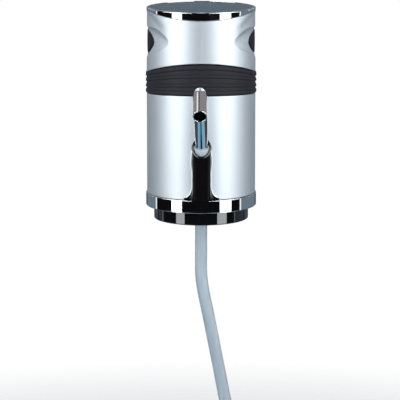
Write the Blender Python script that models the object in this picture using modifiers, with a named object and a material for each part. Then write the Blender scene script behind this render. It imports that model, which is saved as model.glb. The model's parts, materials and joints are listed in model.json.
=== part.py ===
"""Bottled water pump: a battery pump that stands on the neck of a water bottle.

Origin: centre of the plane where the bottle's rim meets the seat gasket. +Z up,
the spout points to -Y. Dimensions below are in millimetres.
"""
from math import acos, atan2, cos, pi, radians, sin, sqrt

import bmesh
import bpy
from mathutils import Matrix, Vector

# ---------------------------------------------------------------- dimensions
MM = 0.001
GAP = 0.3                      # clearance between touching pieces

BODY_R = 35.4                  # silver housings, outside
WALL = 1.8                     # lower housing wall
UP_WALL = 2.4                  # upper housing wall
BAND_R = 35.5                  # band between its ribs
BAND_RIB = 0.75                # how far the ribs stand out
BAND_SEAT_R = 34.2             # recess that the band sits in
CHROME_R = 36.0                # base ring
SKIRT_R, SKIRT_IN = 30.8, 29.2
CROWN_R = 27.5                 # bottle crown that the sleeve grips (55 mm)

Z_SKIRT = -12.2
Z_RING_LO, Z_RING_HI = -3.3, 5.0
Z_BAND_LO_SIDE, Z_BAND_LO_FRONT = 70.6, 72.9
Z_BAND_HI_SIDE, Z_BAND_HI_FRONT = 84.2, 93.7
Z_CHROME_SIDE, Z_CHROME_FRONT = 125.1, 121.0
Z_TOP = 126.8
DISC_R = 32.6                  # power button

DECK_LO, DECK_HI = 2.2, 4.7    # base deck
HOUSE_LO = Z_RING_HI + GAP

# riser and spout
RISER_R = 5.85                 # half the post's width
RISER_FRONT = -41.85           # the post's flat front
RISER_CORNER = 2.6             # radius of its two front corners
RISER_LO, RISER_HI = 6.0, 33.5
FOOT_HALF, FOOT_TOP = 11.3, 15.0
LEAN = radians(24.0)           # the spout socket leans forward
SOCKET = (-37.8, 37.3)         # y, z of the socket's axis at the hood's front rim
HOOD_R, HOOD_BACK = 6.15, 7.3
SOCKET_R = 5.3
SEAL_R, SEAL_TOP = 5.0, 4.4
SPOUT_R0, SPOUT_R1 = 3.6, 4.45  # outside radius in the collar and above it
SPOUT_WALL = 0.55
SPOUT_RISE = 36.9              # straight length above the socket's origin
SPOUT_BEND = 12.5
SPOUT_DROP = radians(29.5)     # the outlet points this far below level
SPOUT_RUN = 18.9
SPOUT_TURN = radians(-0.6)     # the spout stands turned a little to the left
SPOUT_TILT = radians(1.3)      # and above the collar it tilts a little to the left

# side pads
PAD_Z = 103.9
PAD_A, PAD_B = 18.5, 9.1       # half length (Y) and half height
PAD_TRAVEL = 2.0

# gear pump
GEAR_X, GEAR_Y = 5.0, -6.0     # axes at (-GEAR_X, GEAR_Y) and (GEAR_X, GEAR_Y)
TEETH = 10
TIP_R, ROOT_R = 5.85, 3.85
PUMP_LO, PUMP_HI = 9.0, 20.0
CHAMBER_HI = 16.2
COVER_LO, COVER_HI = 6.5, 8.7
PUMP_HALF_X, PUMP_HALF_Y, PUMP_Y = 15.5, 12.5, -5.5
OUTLET_Z = 12.6

# motor
MOTOR_R, MOTOR_LO, MOTOR_HI = 12.0, 20.4, 49.0

# frame, cells
FRAME_LO, FRAME_HI = 55.0, 57.0
BOX_R, BOX_LO, BOX_HI = 21.6, 57.3, 101.0
CELL_R, CELL_LEN, CELL_LO = 7.25, 50.5, 62.2
CELL_AT = 8.4

# button deck and board
BUTTON_DECK_LO, BUTTON_DECK_HI = 116.6, 118.2

# suction hose
HOSE_R = 4.0
HOSE_TOP = -14.3
COIL_X, COIL_Y, COIL_Z, COIL_R = -21.0, 4.2, -190.0, 44.0
ROUTE = ((0, HOSE_TOP), (0, -36), (0.1, -51), (1.7, -63), (4.4, -76), (8.1, -95),
         (11.8, -114.2), (16.1, -136.3), (19.4, -150), (21.1, -159.2))

# ---------------------------------------------------------------- scene
for old in list(bpy.data.objects):
    bpy.data.objects.remove(old, do_unlink=True)

PARTS = bpy.data.collections.new("bottled_water_pump")
CUTTERS = bpy.data.collections.new("cutters")
bpy.context.scene.collection.children.link(PARTS)
bpy.context.scene.collection.children.link(CUTTERS)


def material(name, colour, rough, metal=0.0, see_through=0.0):
    made = bpy.data.materials.new(name)
    made.use_nodes = True
    shader = made.node_tree.nodes["Principled BSDF"]
    shader.inputs["Base Color"].default_value = (*colour, 1)
    shader.inputs["Roughness"].default_value = rough
    shader.inputs["Metallic"].default_value = metal
    shader.inputs["Transmission Weight"].default_value = see_through
    return made


SILVER = material("silver_paint", (0.72, 0.73, 0.75), 0.34, 0.7)
CHROME = material("chrome", (0.85, 0.86, 0.88), 0.05, 1.0)
GLOSS_BLACK = material("gloss_black", (0.012, 0.012, 0.014), 0.08)
BAND_RUBBER = material("band_rubber", (0.03, 0.031, 0.036), 0.5)
PAD_BLACK = material("pad_black", (0.02, 0.02, 0.023), 0.45)
DISC_BLUE = material("disc_blue_grey", (0.1, 0.12, 0.17), 0.15)
SEAL_CLEAR = material("seal_translucent", (0.75, 0.82, 0.9), 0.2, 0.0, 0.5)
HOSE_CLEAR = material("hose_silicone", (0.8, 0.87, 0.93), 0.25, 0.0, 0.6)
SOFT_BLACK = material("soft_rubber", (0.04, 0.04, 0.04), 0.7)
ABS_BLACK = material("inner_black", (0.05, 0.05, 0.055), 0.5)
ABS_WHITE = material("inner_white", (0.75, 0.75, 0.73), 0.45)
STEEL = material("steel", (0.6, 0.6, 0.62), 0.3, 1.0)
NICKEL = material("nickel", (0.72, 0.7, 0.66), 0.25, 1.0)
MAGNET = material("magnet", (0.12, 0.12, 0.13), 0.6, 0.3)
BOARD = material("board_green", (0.03, 0.2, 0.09), 0.45)
CELL_SLEEVE = material("cell_sleeve", (0.15, 0.16, 0.18), 0.3)
WIRE_RED = material("wire_red", (0.6, 0.03, 0.03), 0.4)
WIRE_BLACK = material("wire_black", (0.03, 0.03, 0.03), 0.4)
TIE_WHITE = material("tie", (0.85, 0.86, 0.88), 0.5)


# ---------------------------------------------------------------- helpers
def put(obj, finish=None, cutter=False):
    home = CUTTERS if cutter else PARTS
    home.objects.link(obj)
    if cutter:
        obj.hide_render = True
        obj.display_type = "WIRE"
    elif finish:
        obj.data.materials.append(finish)
    return obj


def from_bmesh(name, bm, finish=None, cutter=False, smooth=True):
    bmesh.ops.recalc_face_normals(bm, faces=bm.faces)
    mesh = bpy.data.meshes.new(name)
    bm.to_mesh(mesh)
    bm.free()
    if smooth:
        mesh.shade_smooth()
        mesh.set_sharp_from_angle(angle=radians(35))
    return put(bpy.data.objects.new(name, mesh), finish, cutter)


def move(obj, x, y, z):
    obj.location = Vector((x, y, z)) * MM
    return obj


def turned(name, loop, finish=None, steps=40, closed=True, cutter=False):
    """A profile of (radius, z) turned about Z. It runs down its outer side."""
    mesh = bpy.data.meshes.new(name)
    points = [(r * MM, 0, z * MM) for r, z in loop]
    edges = [(i, i + 1) for i in range(len(points) - 1)]
    if closed:
        edges.append((len(points) - 1, 0))
    mesh.from_pydata(points, edges, [])
    obj = put(bpy.data.objects.new(name, mesh), finish, cutter)
    screw = obj.modifiers.new("turn", "SCREW")
    screw.axis = "Z"
    screw.steps = screw.render_steps = steps
    screw.use_merge_vertices = True
    screw.merge_threshold = 0.00001
    screw.use_smooth_shade = True
    return obj


def around(name, section, finish=None, steps=48, cutter=False):
    """A ring whose (radius, z) section changes with the angle from the front."""
    bm = bmesh.new()
    rows = []
    for i in range(steps):
        phi = 2 * pi * i / steps
        rows.append([bm.verts.new((r * sin(phi) * MM, -r * cos(phi) * MM, z * MM))
                     for r, z in section(phi)])
    n = len(rows[0])
    for i in range(steps):
        a, b = rows[i], rows[(i + 1) % steps]
        for j in range(n):
            bm.faces.new((a[j], a[(j + 1) % n], b[(j + 1) % n], b[j]))
    return from_bmesh(name, bm, finish, cutter)


def box(name, size, at, finish=None, bevel=0.0, cutter=False, turn=None):
    bm = bmesh.new()
    bmesh.ops.create_cube(bm, size=1.0)
    bmesh.ops.scale(bm, vec=Vector(size) * MM, verts=bm.verts)
    if bevel:
        bmesh.ops.bevel(bm, geom=bm.edges[:], offset=bevel * MM, segments=1, affect="EDGES")
    if turn is not None:
        bmesh.ops.transform(bm, matrix=turn, verts=bm.verts)
    obj = from_bmesh(name, bm, finish, cutter, smooth=False)
    return move(obj, *at)


def cylinder(name, r, lo, hi, finish=None, sides=24, x=0.0, y=0.0, cutter=False):
    bm = bmesh.new()
    bmesh.ops.create_cone(bm, cap_ends=True, segments=sides, radius1=r * MM,
                          radius2=r * MM, depth=(hi - lo) * MM)
    return move(from_bmesh(name, bm, finish, cutter), x, y, (lo + hi) / 2)


def rod(name, r, start, end, finish=None, sides=24, cutter=False):
    """A cylinder from one point to another."""
    a, b = Vector(start), Vector(end)
    bm = bmesh.new()
    bmesh.ops.create_cone(bm, cap_ends=True, segments=sides, radius1=r * MM,
                          radius2=r * MM, depth=(b - a).length * MM)
    spin = Vector((0, 0, 1)).rotation_difference((b - a).normalized()).to_matrix().to_4x4()
    bmesh.ops.transform(bm, matrix=spin, verts=bm.verts)
    return move(from_bmesh(name, bm, finish, cutter), *((a + b) / 2))


def outline(name, points, lo, hi, finish=None, plane="XY", cutter=False):
    """A flat outline extruded between two levels, square to its plane."""
    bm = bmesh.new()
    made = {"XY": lambda u, v, w: (u, v, w), "XZ": lambda u, v, w: (u, w, v),
            "YZ": lambda u, v, w: (w, u, v)}[plane]
    low = [bm.verts.new(Vector(made(u, v, lo)) * MM) for u, v in points]
    high = [bm.verts.new(Vector(made(u, v, hi)) * MM) for u, v in points]
    bm.faces.new(low)
    bm.faces.new(high)
    for i in range(len(points)):
        j = (i + 1) % len(points)
        bm.faces.new((low[i], low[j], high[j], high[i]))
    return from_bmesh(name, bm, finish, cutter, smooth=False)


def cut(obj, *cutters, how="DIFFERENCE"):
    for other in cutters:
        step = obj.modifiers.new("with_" + other.name, "BOOLEAN")
        step.operation = how
        step.object = other
        step.solver = "EXACT"
    return obj


def tube(name, points, r, finish=None, resolution=2, radii=None):
    data = bpy.data.curves.new(name, "CURVE")
    data.dimensions = "3D"
    data.bevel_depth = r * MM
    data.bevel_resolution = resolution
    data.use_fill_caps = True
    line = data.splines.new("POLY")
    line.points.add(len(points) - 1)
    for i, p in enumerate(points):
        line.points[i].co = (*(Vector(p) * MM), 1)
        line.points[i].radius = 1.0 if radii is None else radii[i] / r
    obj = bpy.data.objects.new(name, data)
    PARTS.objects.link(obj)
    if finish:
        data.materials.append(finish)
    return obj


def as_mesh(curve, cutter=False):
    """The curve's tube as a mesh object with welded caps."""
    bpy.context.view_layer.update()
    graph = bpy.context.evaluated_depsgraph_get()
    mesh = bpy.data.meshes.new_from_object(curve.evaluated_get(graph))
    bm = bmesh.new()
    bm.from_mesh(mesh)
    bmesh.ops.remove_doubles(bm, verts=bm.verts, dist=1e-6)
    bmesh.ops.recalc_face_normals(bm, faces=bm.faces)
    bm.to_mesh(mesh)
    bm.free()
    name, place = curve.name, curve.matrix_world.copy()
    bpy.data.objects.remove(curve, do_unlink=True)
    obj = bpy.data.objects.new(name, mesh)
    obj.matrix_world = place
    return put(obj, None, cutter)


def smooth_points(knots, spacing):
    """Points read at an even spacing from a smooth curve through the knots."""
    knots = [Vector(k) for k in knots]
    ends = [knots[0] * 2 - knots[1]] + knots + [knots[-1] * 2 - knots[-2]]
    fine = []
    for i in range(1, len(ends) - 2):
        p0, p1, p2, p3 = ends[i - 1:i + 3]
        t1 = (p1 - p0).length ** 0.5
        t2 = t1 + (p2 - p1).length ** 0.5
        t3 = t2 + (p3 - p2).length ** 0.5
        for k in range(24):
            t = t1 + (t2 - t1) * k / 24
            a1 = p0 * ((t1 - t) / t1) + p1 * (t / t1)
            a2 = p1 * ((t2 - t) / (t2 - t1)) + p2 * ((t - t1) / (t2 - t1))
            a3 = p2 * ((t3 - t) / (t3 - t2)) + p3 * ((t - t2) / (t3 - t2))
            b1 = a1 * ((t2 - t) / t2) + a2 * (t / t2)
            b2 = a2 * ((t3 - t) / (t3 - t1)) + a3 * ((t - t1) / (t3 - t1))
            fine.append(b1 * ((t2 - t) / (t2 - t1)) + b2 * ((t - t1) / (t2 - t1)))
    fine.append(knots[-1])
    run = [0.0]
    for a, b in zip(fine, fine[1:]):
        run.append(run[-1] + (b - a).length)
    count = max(2, round(run[-1] / spacing))
    out, k = [], 0
    for i in range(count + 1):
        want = run[-1] * i / count
        while k < len(run) - 2 and run[k + 1] < want:
            k += 1
        span = run[k + 1] - run[k]
        out.append(fine[k].lerp(fine[k + 1], (want - run[k]) / span if span else 0))
    return out


def helix(x, y, z0, z1, r, turns, per_turn=7):
    n = int(turns * per_turn)
    return [(x + r * cos(2 * pi * i / per_turn), y + r * sin(2 * pi * i / per_turn),
             z0 + (z1 - z0) * i / n) for i in range(n + 1)]


# curved seams: the height of each changes round the body
def rise(phi, power):
    return abs(cos(phi)) ** power


def band_lo(phi):
    return Z_BAND_LO_SIDE + (Z_BAND_LO_FRONT - Z_BAND_LO_SIDE) * rise(phi, 1.3)


def band_hi(phi):
    return Z_BAND_HI_SIDE + (Z_BAND_HI_FRONT - Z_BAND_HI_SIDE) * rise(phi, 1.3)


def chrome_lo(phi):
    return Z_CHROME_SIDE + (Z_CHROME_FRONT - Z_CHROME_SIDE) * rise(phi, 2.0)


def ellipse(a, b, z, count=24):
    return [(a * cos(2 * pi * i / count), z + b * sin(2 * pi * i / count))
            for i in range(count)]


# ---------------------------------------------------------------- base
SCREWS = [(12.2, -14.7), (-12.2, -14.7), (12.2, 3.7), (-12.2, 3.7)]

neck_skirt = turned("neck_skirt", [
    (33.8, DECK_HI), (33.8, DECK_LO), (SKIRT_R, DECK_LO), (SKIRT_R, Z_SKIRT + 1.0),
    (SKIRT_R - 0.3, Z_SKIRT + 0.3), (SKIRT_R - 1.0, Z_SKIRT), (SKIRT_IN, Z_SKIRT),
    (SKIRT_IN, DECK_LO), (5.0, DECK_LO), (5.0, DECK_HI)], GLOSS_BLACK)
for i, (x, y) in enumerate(SCREWS):
    cut(neck_skirt, cylinder(f"cut_deck_{i}", 1.6, 0, 8, sides=12, x=x, y=y, cutter=True))

turned("neck_grip_sleeve", [
    (28.9, -0.3), (28.9, -11.8), (28.2, -11.8), (27.5, -9.6), (27.8, -8.6), (27.5, -4.6),
    (27.8, -3.6), (27.8, -0.3)], SOFT_BLACK, steps=40)
turned("seat_gasket", [
    (28.9, 1.9), (28.9, 0.5), (27.2, 0.5), (27.2, 0), (22.0, 0), (22.0, 1.9)], SOFT_BLACK)
turned("chrome_base_ring", [
    (CHROME_R - 0.5, Z_RING_HI), (CHROME_R, Z_RING_HI - 0.5), (CHROME_R, Z_RING_LO + 0.6),
    (CHROME_R - 0.6, Z_RING_LO), (31.15, Z_RING_LO), (31.15, Z_RING_LO + 1.2),
    (34.2, Z_RING_LO + 1.2), (34.2, Z_RING_HI)], CHROME)
turned("inlet_nipple", [
    (8.0, 6.2), (8.0, 5.0), (4.6, 5.0), (4.6, 1.0), (2.8, 0.2), (2.8, -8.0), (2.95, -9.0),
    (2.4, -14.0), (1.7, -14.0), (1.7, 6.2)], ABS_WHITE, steps=20)

# ---------------------------------------------------------------- gear pump
r = 4.5
pump_outline = []
for cx, cy, a0 in ((1, 1, 0), (-1, 1, 90), (-1, -1, 180), (1, -1, 270)):
    for k in range(5):
        a = radians(a0 + 22.5 * k)
        pump_outline.append((cx * (PUMP_HALF_X - r) + r * cos(a),
                             PUMP_Y + cy * (PUMP_HALF_Y - r) + r * sin(a)))

pump_cover = outline("pump_cover", pump_outline, COVER_LO, COVER_HI, ABS_WHITE)
cut(pump_cover, cylinder("cut_inlet", 2.4, 5, 10, sides=16, cutter=True))
pump_housing = outline("pump_housing", pump_outline, PUMP_LO, PUMP_HI, ABS_WHITE)
barb = rod("barb_blank", 3.0, (0, -15, OUTLET_Z), (0, -25, OUTLET_Z), sides=16, cutter=True)
cut(pump_housing, barb, how="UNION")
cut(pump_housing,
    cylinder("cut_chamber_a", 6.25, 8.5, CHAMBER_HI, sides=32, x=-GEAR_X, y=GEAR_Y, cutter=True),
    cylinder("cut_chamber_b", 6.25, 8.5, CHAMBER_HI, sides=32, x=GEAR_X, y=GEAR_Y, cutter=True),
    cylinder("cut_port_in", 3.0, 8.4, CHAMBER_HI - 0.4, sides=16, y=0.4, cutter=True),
    cylinder("cut_port_out", 2.4, 8.4, CHAMBER_HI - 0.6, sides=16, y=-12.4, cutter=True),
    rod("cut_outlet", 1.7, (0, -13, OUTLET_Z), (0, -27, OUTLET_Z), sides=12, cutter=True),
    cylinder("cut_shaft", 1.3, 15, 22, sides=16, x=-GEAR_X, y=GEAR_Y, cutter=True),
    cylinder("cut_seal", 3.3, 17.5, 22, sides=24, x=-GEAR_X, y=GEAR_Y, cutter=True),
    cylinder("cut_pin", 1.15, 15, 18.6, sides=16, x=GEAR_X, y=GEAR_Y, cutter=True))
for i, (x, y) in enumerate(SCREWS):
    hole = cylinder(f"cut_screw_{i}", 1.6, 5, 17.6, sides=12, x=x, y=y, cutter=True)
    cut(pump_cover, hole)
    cut(pump_housing, hole)
    screw = turned(f"pump_screw_{i + 1}", [
        (0, 17.2), (1.2, 17.2), (1.2, 1.9), (2.4, 1.9), (2.4, 0.9), (1.8, 0.4), (0, 0.4)],
        STEEL, steps=8, closed=False)
    move(screw, x, y, 0)


def gear_outline(turn):
    """Involute teeth with backlash, about the origin."""
    pitch = GEAR_X
    base = pitch * cos(radians(20))
    half = pi / (2 * TEETH) - radians(2.4)
    involute = sqrt((pitch / base) ** 2 - 1) - acos(base / pitch)
    out = []
    for t in range(TEETH):
        mid = turn + 2 * pi * t / TEETH
        flank = []
        for k in range(3):
            rr = base + (TIP_R - base) * k / 2
            roll = sqrt(max((rr / base) ** 2 - 1, 0)) - acos(min(base / rr, 1))
            flank.append((rr, half + involute - roll))
        for rr, a in [(ROOT_R, flank[0][1] + radians(1.0))] + flank:
            out.append((rr * cos(mid - a), rr * sin(mid - a)))
        for rr, a in flank[::-1] + [(ROOT_R, flank[0][1] + radians(1.0))]:
            out.append((rr * cos(mid + a), rr * sin(mid + a)))
    return out


drive_gear = outline("drive_gear", gear_outline(0.0), 9.3, 15.9, STEEL)
idler_gear = outline("idler_gear", gear_outline(pi / TEETH + pi), 9.3, 15.9, ABS_WHITE)
for gear, x in ((drive_gear, -GEAR_X), (idler_gear, GEAR_X)):
    move(gear, x, GEAR_Y, 0)
    cut(gear, cylinder(f"cut_{gear.name}", 1.15, 8, 17, sides=16, x=x, y=GEAR_Y, cutter=True))
cylinder("idler_pin", 1.0, 9.2, 18.3, STEEL, sides=12, x=GEAR_X, y=GEAR_Y)
move(turned("shaft_seal", [(3.0, 19.7), (3.0, 17.8), (1.2, 17.8), (1.2, 19.7)],
            SOFT_BLACK, steps=20), -GEAR_X, GEAR_Y, 0)

# ---------------------------------------------------------------- motor
move(turned("motor_can", [
    (MOTOR_R, MOTOR_HI), (MOTOR_R, MOTOR_LO + 0.6), (MOTOR_R - 0.6, MOTOR_LO), (2.0, MOTOR_LO),
    (2.0, MOTOR_LO + 0.9), (MOTOR_R - 0.9, MOTOR_LO + 0.9), (MOTOR_R - 0.9, MOTOR_HI)],
    NICKEL, steps=28), -GEAR_X, GEAR_Y, 0)
move(turned("motor_end_cap", [
    (MOTOR_R - 0.6, 51.6), (MOTOR_R - 0.6, MOTOR_HI + GAP), (1.6, MOTOR_HI + GAP), (1.6, 53.0),
    (3.2, 53.0), (3.2, 51.6)], ABS_WHITE, steps=28), -GEAR_X, GEAR_Y, 0)
rotor = turned("motor_rotor", [
    (0, 53.6), (1.0, 53.6), (1.0, 47.0), (2.9, 47.0), (2.9, 42.5), (8.0, 42.0), (8.4, 41.4),
    (8.4, 25.6), (8.0, 25.0), (1.6, 24.4), (1.0, 24.4), (1.0, 9.4), (0, 9.4)],
    STEEL, steps=16, closed=False)
move(rotor, -GEAR_X, GEAR_Y, 0)
for side, a0 in (("left", pi), ("right", 0.0)):
    bm = bmesh.new()
    rows = []
    for k in range(9):
        a = a0 + radians(-66 + 16.5 * k)
        rows.append([bm.verts.new(Vector((q * cos(a) - GEAR_X, q * sin(a) + GEAR_Y, h)) * MM)
                     for q, h in ((8.9, 23.0), (10.7, 23.0), (10.7, 44.0), (8.9, 44.0))])
    bm.faces.new(rows[0])
    bm.faces.new(rows[-1])
    for p, q in zip(rows, rows[1:]):
        for j in range(4):
            bm.faces.new((p[j], p[(j + 1) % 4], q[(j + 1) % 4], q[j]))
    from_bmesh(f"motor_magnet_{side}", bm, MAGNET)
for side, dx in (("left", -7.6), ("right", 7.6)):
    box(f"motor_terminal_{side}", (2.4, 0.6, 2.4), (-GEAR_X + dx, GEAR_Y, 53.1), NICKEL)

# ---------------------------------------------------------------- riser, spout
axis = Vector((0, -sin(LEAN), cos(LEAN)))
socket = Vector((0, *SOCKET))
level = Vector((0, -cos(LEAN), -sin(LEAN)))      # square to the axis, forwards


def on_axis(s):
    return socket + axis * s


flat_half = RISER_R - RISER_CORNER
corner_y = RISER_FRONT + RISER_CORNER
right_side = [(flat_half + RISER_CORNER * cos(pi * k / 12), corner_y - RISER_CORNER * sin(pi * k / 12))
              for k in range(7)]
post = right_side + [(-x, y) for x, y in right_side[::-1]] + [(-RISER_R, -33.4), (RISER_R, -33.4)]
spout_riser = outline("spout_riser", post, RISER_LO, RISER_HI, GLOSS_BLACK)


def foot(grow):
    """Front view of the flared foot: concave sides up to the post's width."""
    w, b = RISER_R + grow, FOOT_HALF + grow
    z0 = RISER_LO + 0.5 + grow
    right = [(b, RISER_LO - grow)]
    for k in range(7):
        a = radians(90) * k / 6
        right.append((b - (b - w) * sin(a), z0 + (FOOT_TOP + grow - z0) * (1 - cos(a))))
    return right + [(-x, z) for x, z in right[::-1]]


def between(name, inner, outer, lo, hi, steps=64):
    return turned(name, [(outer, hi), (outer, lo), (inner, lo), (inner, hi)], steps=steps,
                  cutter=True)


foot_blank = outline("foot_blank", foot(0.0), -40, -25, plane="XZ", cutter=True)
cut(foot_blank, between("foot_shell", 33.5, 35.5, 3, 20), how="INTERSECT")
cut(spout_riser, foot_blank, how="UNION")
hood_blank = rod("hood_blank", HOOD_R, on_axis(-10), on_axis(10), sides=32, cutter=True)
cut(spout_riser, hood_blank, how="UNION")
front = on_axis(0) + level * HOOD_R
back = on_axis(HOOD_BACK) - level * HOOD_R
slope = atan2(back.z - front.z, back.y - front.y)
above = Vector((0, -sin(slope), cos(slope)))
mid = (front + back) / 2 + above * 15
cut(spout_riser, box("cut_hood", (40, 60, 30), mid, cutter=True,
                     turn=Matrix.Rotation(slope, 4, "X")))
cut(spout_riser, rod("cut_socket", SOCKET_R, on_axis(-8), on_axis(20), sides=24, cutter=True))

outlet_route = [(0, -25.5, OUTLET_Z), (0, -27.5, OUTLET_Z), (0, -30.0, OUTLET_Z + 2.2),
                (0, -31.4, OUTLET_Z + 6.0), (0, -31.9, OUTLET_Z + 9.8), on_axis(-12.5),
                on_axis(-8.8)]
outlet_points = smooth_points(outlet_route, 3.0)
tube("outlet_hose", outlet_points, 3.0, HOSE_CLEAR, resolution=2)
tunnel_points = [outlet_points[0] + Vector((0, 2, 0)), *outlet_points,
                 outlet_points[-1] + axis * 1.5]
tunnel = tube("cut_tunnel", tunnel_points, 3.5, resolution=3)
cut(spout_riser, as_mesh(tunnel, cutter=True))

lean_turn = Matrix.Rotation(LEAN, 4, "X")


def leaning(obj):
    obj.matrix_world = Matrix.Translation(socket * MM) @ lean_turn
    return obj


leaning(turned("spout_seal_ring", [
    (SEAL_R - 0.3, SEAL_TOP), (SEAL_R, SEAL_TOP - 0.3), (SEAL_R, -6.0), (4.0, -6.0),
    (4.0, SEAL_TOP)], SEAL_CLEAR, steps=24))
leaning(turned("spout_o_ring", [
    (5.0, -6.4), (5.0, -7.4), (3.95, -7.4), (3.95, -6.4)], SOFT_BLACK, steps=24))

# the spout's centre line: up the leaning axis, over the bend, then forwards and down
line = [on_axis(s) for s in (-7.6, -2.0, 2.5, 5.0, 8.0, 11.5, 16.0, 21.0, 27.0, 33.0)]
start = on_axis(SPOUT_RISE)
centre = start + level * SPOUT_BEND
sweep = pi / 2 - LEAN + SPOUT_DROP
for k in range(11):
    a = sweep * k / 10
    line.append(centre - level * SPOUT_BEND * cos(a) + axis * SPOUT_BEND * sin(a))
outward = Vector((0, -cos(SPOUT_DROP), -sin(SPOUT_DROP)))
last = line[-1]
for k in (1, 2, 3):
    line.append(last + outward * SPOUT_RUN * k / 3)
spout_turn = Matrix.Rotation(SPOUT_TURN, 3, axis)
line = [socket + spout_turn @ (p - socket) for p in line]
outward = spout_turn @ outward
spout_tilt = Matrix.Rotation(SPOUT_TILT, 3, level)
knee = on_axis(2.5)
line = [p if (p - knee).dot(axis) < 0.1 else knee + spout_tilt @ (p - knee) for p in line]
outward = spout_tilt @ outward
run = [0.0]
for a, b in zip(line, line[1:]):
    run.append(run[-1] + (b - a).length)


def spout_radius(s):
    t = min(max((s - 10.1) / 17.0, 0.0), 1.0)
    return SPOUT_R0 + (SPOUT_R1 - SPOUT_R0) * (1 - (1 - t) ** 2.2)


spout = tube("spout_tube", line, 1.0, CHROME, resolution=2, radii=[spout_radius(s) for s in run])
spout = as_mesh(spout)
spout.data.materials.clear()
spout.data.materials.append(CHROME)
bore_line = [line[0] - axis * 2] + line + [line[-1] + outward * 3]
bore_radii = [SPOUT_R0 - SPOUT_WALL] + [spout_radius(s) - SPOUT_WALL for s in run] \
    + [spout_radius(run[-1]) - SPOUT_WALL]
bore = as_mesh(tube("cut_spout", bore_line, 1.0, resolution=2, radii=bore_radii), cutter=True)
cut(spout, bore)

# ---------------------------------------------------------------- lower housing, frame
lower = around("lower_housing", lambda phi: [
    (BODY_R, band_lo(phi) - 0.15), (BODY_R, HOUSE_LO), (BODY_R - WALL, HOUSE_LO),
    (BODY_R - WALL, band_lo(phi) - 0.15)], SILVER, steps=64)
slot = [(x, z) for x, z in foot(0.35)]
slot_top = [(RISER_R + 0.35, RISER_HI + 0.35), (-RISER_R - 0.35, RISER_HI + 0.35)]
half = len(slot) // 2
slot_outline = slot[:half] + slot_top + slot[half:]
slot_outline[0] = (slot_outline[0][0], 3.0)
slot_outline[-1] = (slot_outline[-1][0], 3.0)
cut(lower, outline("cut_slot", slot_outline, -50, -25, plane="XZ", cutter=True),
    rod("cut_hood_hole", HOOD_R + 0.35, on_axis(-12), on_axis(12), sides=32, cutter=True))

mid_frame = turned("mid_frame", [
    (33.2, FRAME_HI + 0.6), (33.2, FRAME_LO), (4.0, FRAME_LO), (4.0, FRAME_HI),
    (31.4, FRAME_HI), (31.4, 76.0), (32.6, 76.0), (32.6, FRAME_HI + 0.6)], ABS_BLACK)
for i, a in enumerate((90, 210, 330)):
    x, y = 28.6 * cos(radians(a)), 28.6 * sin(radians(a))
    cut(mid_frame, cylinder(f"post_{i}", 2.6, DECK_HI + GAP, FRAME_LO + 0.6, sides=12, x=x, y=y,
                            cutter=True), how="UNION")

battery_box = cylinder("battery_box", BOX_R, BOX_LO, BOX_HI, ABS_BLACK, sides=40)
CELLS = [(CELL_AT, CELL_AT), (-CELL_AT, CELL_AT), (-CELL_AT, -CELL_AT), (CELL_AT, -CELL_AT)]
for i, (x, y) in enumerate(CELLS):
    cut(battery_box, cylinder(f"cut_cell_{i}", 7.6, BOX_LO + 1.6, BOX_HI + 2, sides=24, x=x, y=y,
                              cutter=True))
    body = [(0, CELL_LEN), (2.7, CELL_LEN), (2.7, CELL_LEN - 1.2), (CELL_R - 0.5, CELL_LEN - 1.2),
            (CELL_R, CELL_LEN - 1.7), (CELL_R, 0.4), (CELL_R - 0.4, 0), (0, 0)]
    if i % 2:
        body = [(q, CELL_LEN - h) for q, h in body[::-1]]
    cell = turned(f"battery_cell_{i + 1}", body, CELL_SLEEVE, steps=16, closed=False)
    move(cell, x, y, CELL_LO)
    if i % 2 == 0:
        tube(f"contact_spring_{i + 1}", helix(x, y, BOX_LO + 2.5, CELL_LO - 0.75, 3.6, 2), 0.35,
             NICKEL, resolution=0)
    else:
        tube(f"contact_spring_{i + 1}", helix(x, y, CELL_LO + CELL_LEN + 0.75, 115.4, 3.6, 1.5),
             0.35, NICKEL, resolution=0)
for i, y in ((1, CELL_AT), (2, -CELL_AT)):
    box(f"contact_plate_{i}", (24.0, 9.0, 0.4), (0, y, 116.1), NICKEL)

for name, dx, finish in (("wire_red", -7.6, WIRE_RED), ("wire_black", 7.6, WIRE_BLACK)):
    x0 = -GEAR_X + dx
    sx = 1 if dx > 0 else -1
    tube(name, smooth_points([(x0, GEAR_Y + 1.2, 53.2), (x0 * 0.6 + sx, GEAR_Y + 4.0, 54.0),
                              (sx * 1.6, 0.4, 55.0), (sx * 1.5, 0.4, 57.0)], 1.6),
         0.6, finish, resolution=1)

# ---------------------------------------------------------------- cover
def upper_section(phi):
    hi, seam, lo = chrome_lo(phi) - 0.15, band_hi(phi) + 0.15, band_lo(phi) + 0.3
    inner = BODY_R - UP_WALL
    return [(BODY_R, hi), (BODY_R, seam), (BAND_SEAT_R, seam), (BAND_SEAT_R, lo), (inner, lo),
            (inner, hi)]


upper = around("upper_housing", upper_section, SILVER, steps=64)
for side, sx in (("left", -1), ("right", 1)):
    cut(upper, outline(f"cut_pad_{side}", ellipse(PAD_A, PAD_B, PAD_Z), sx * 22, sx * 40,
                       plane="YZ", cutter=True))


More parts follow.
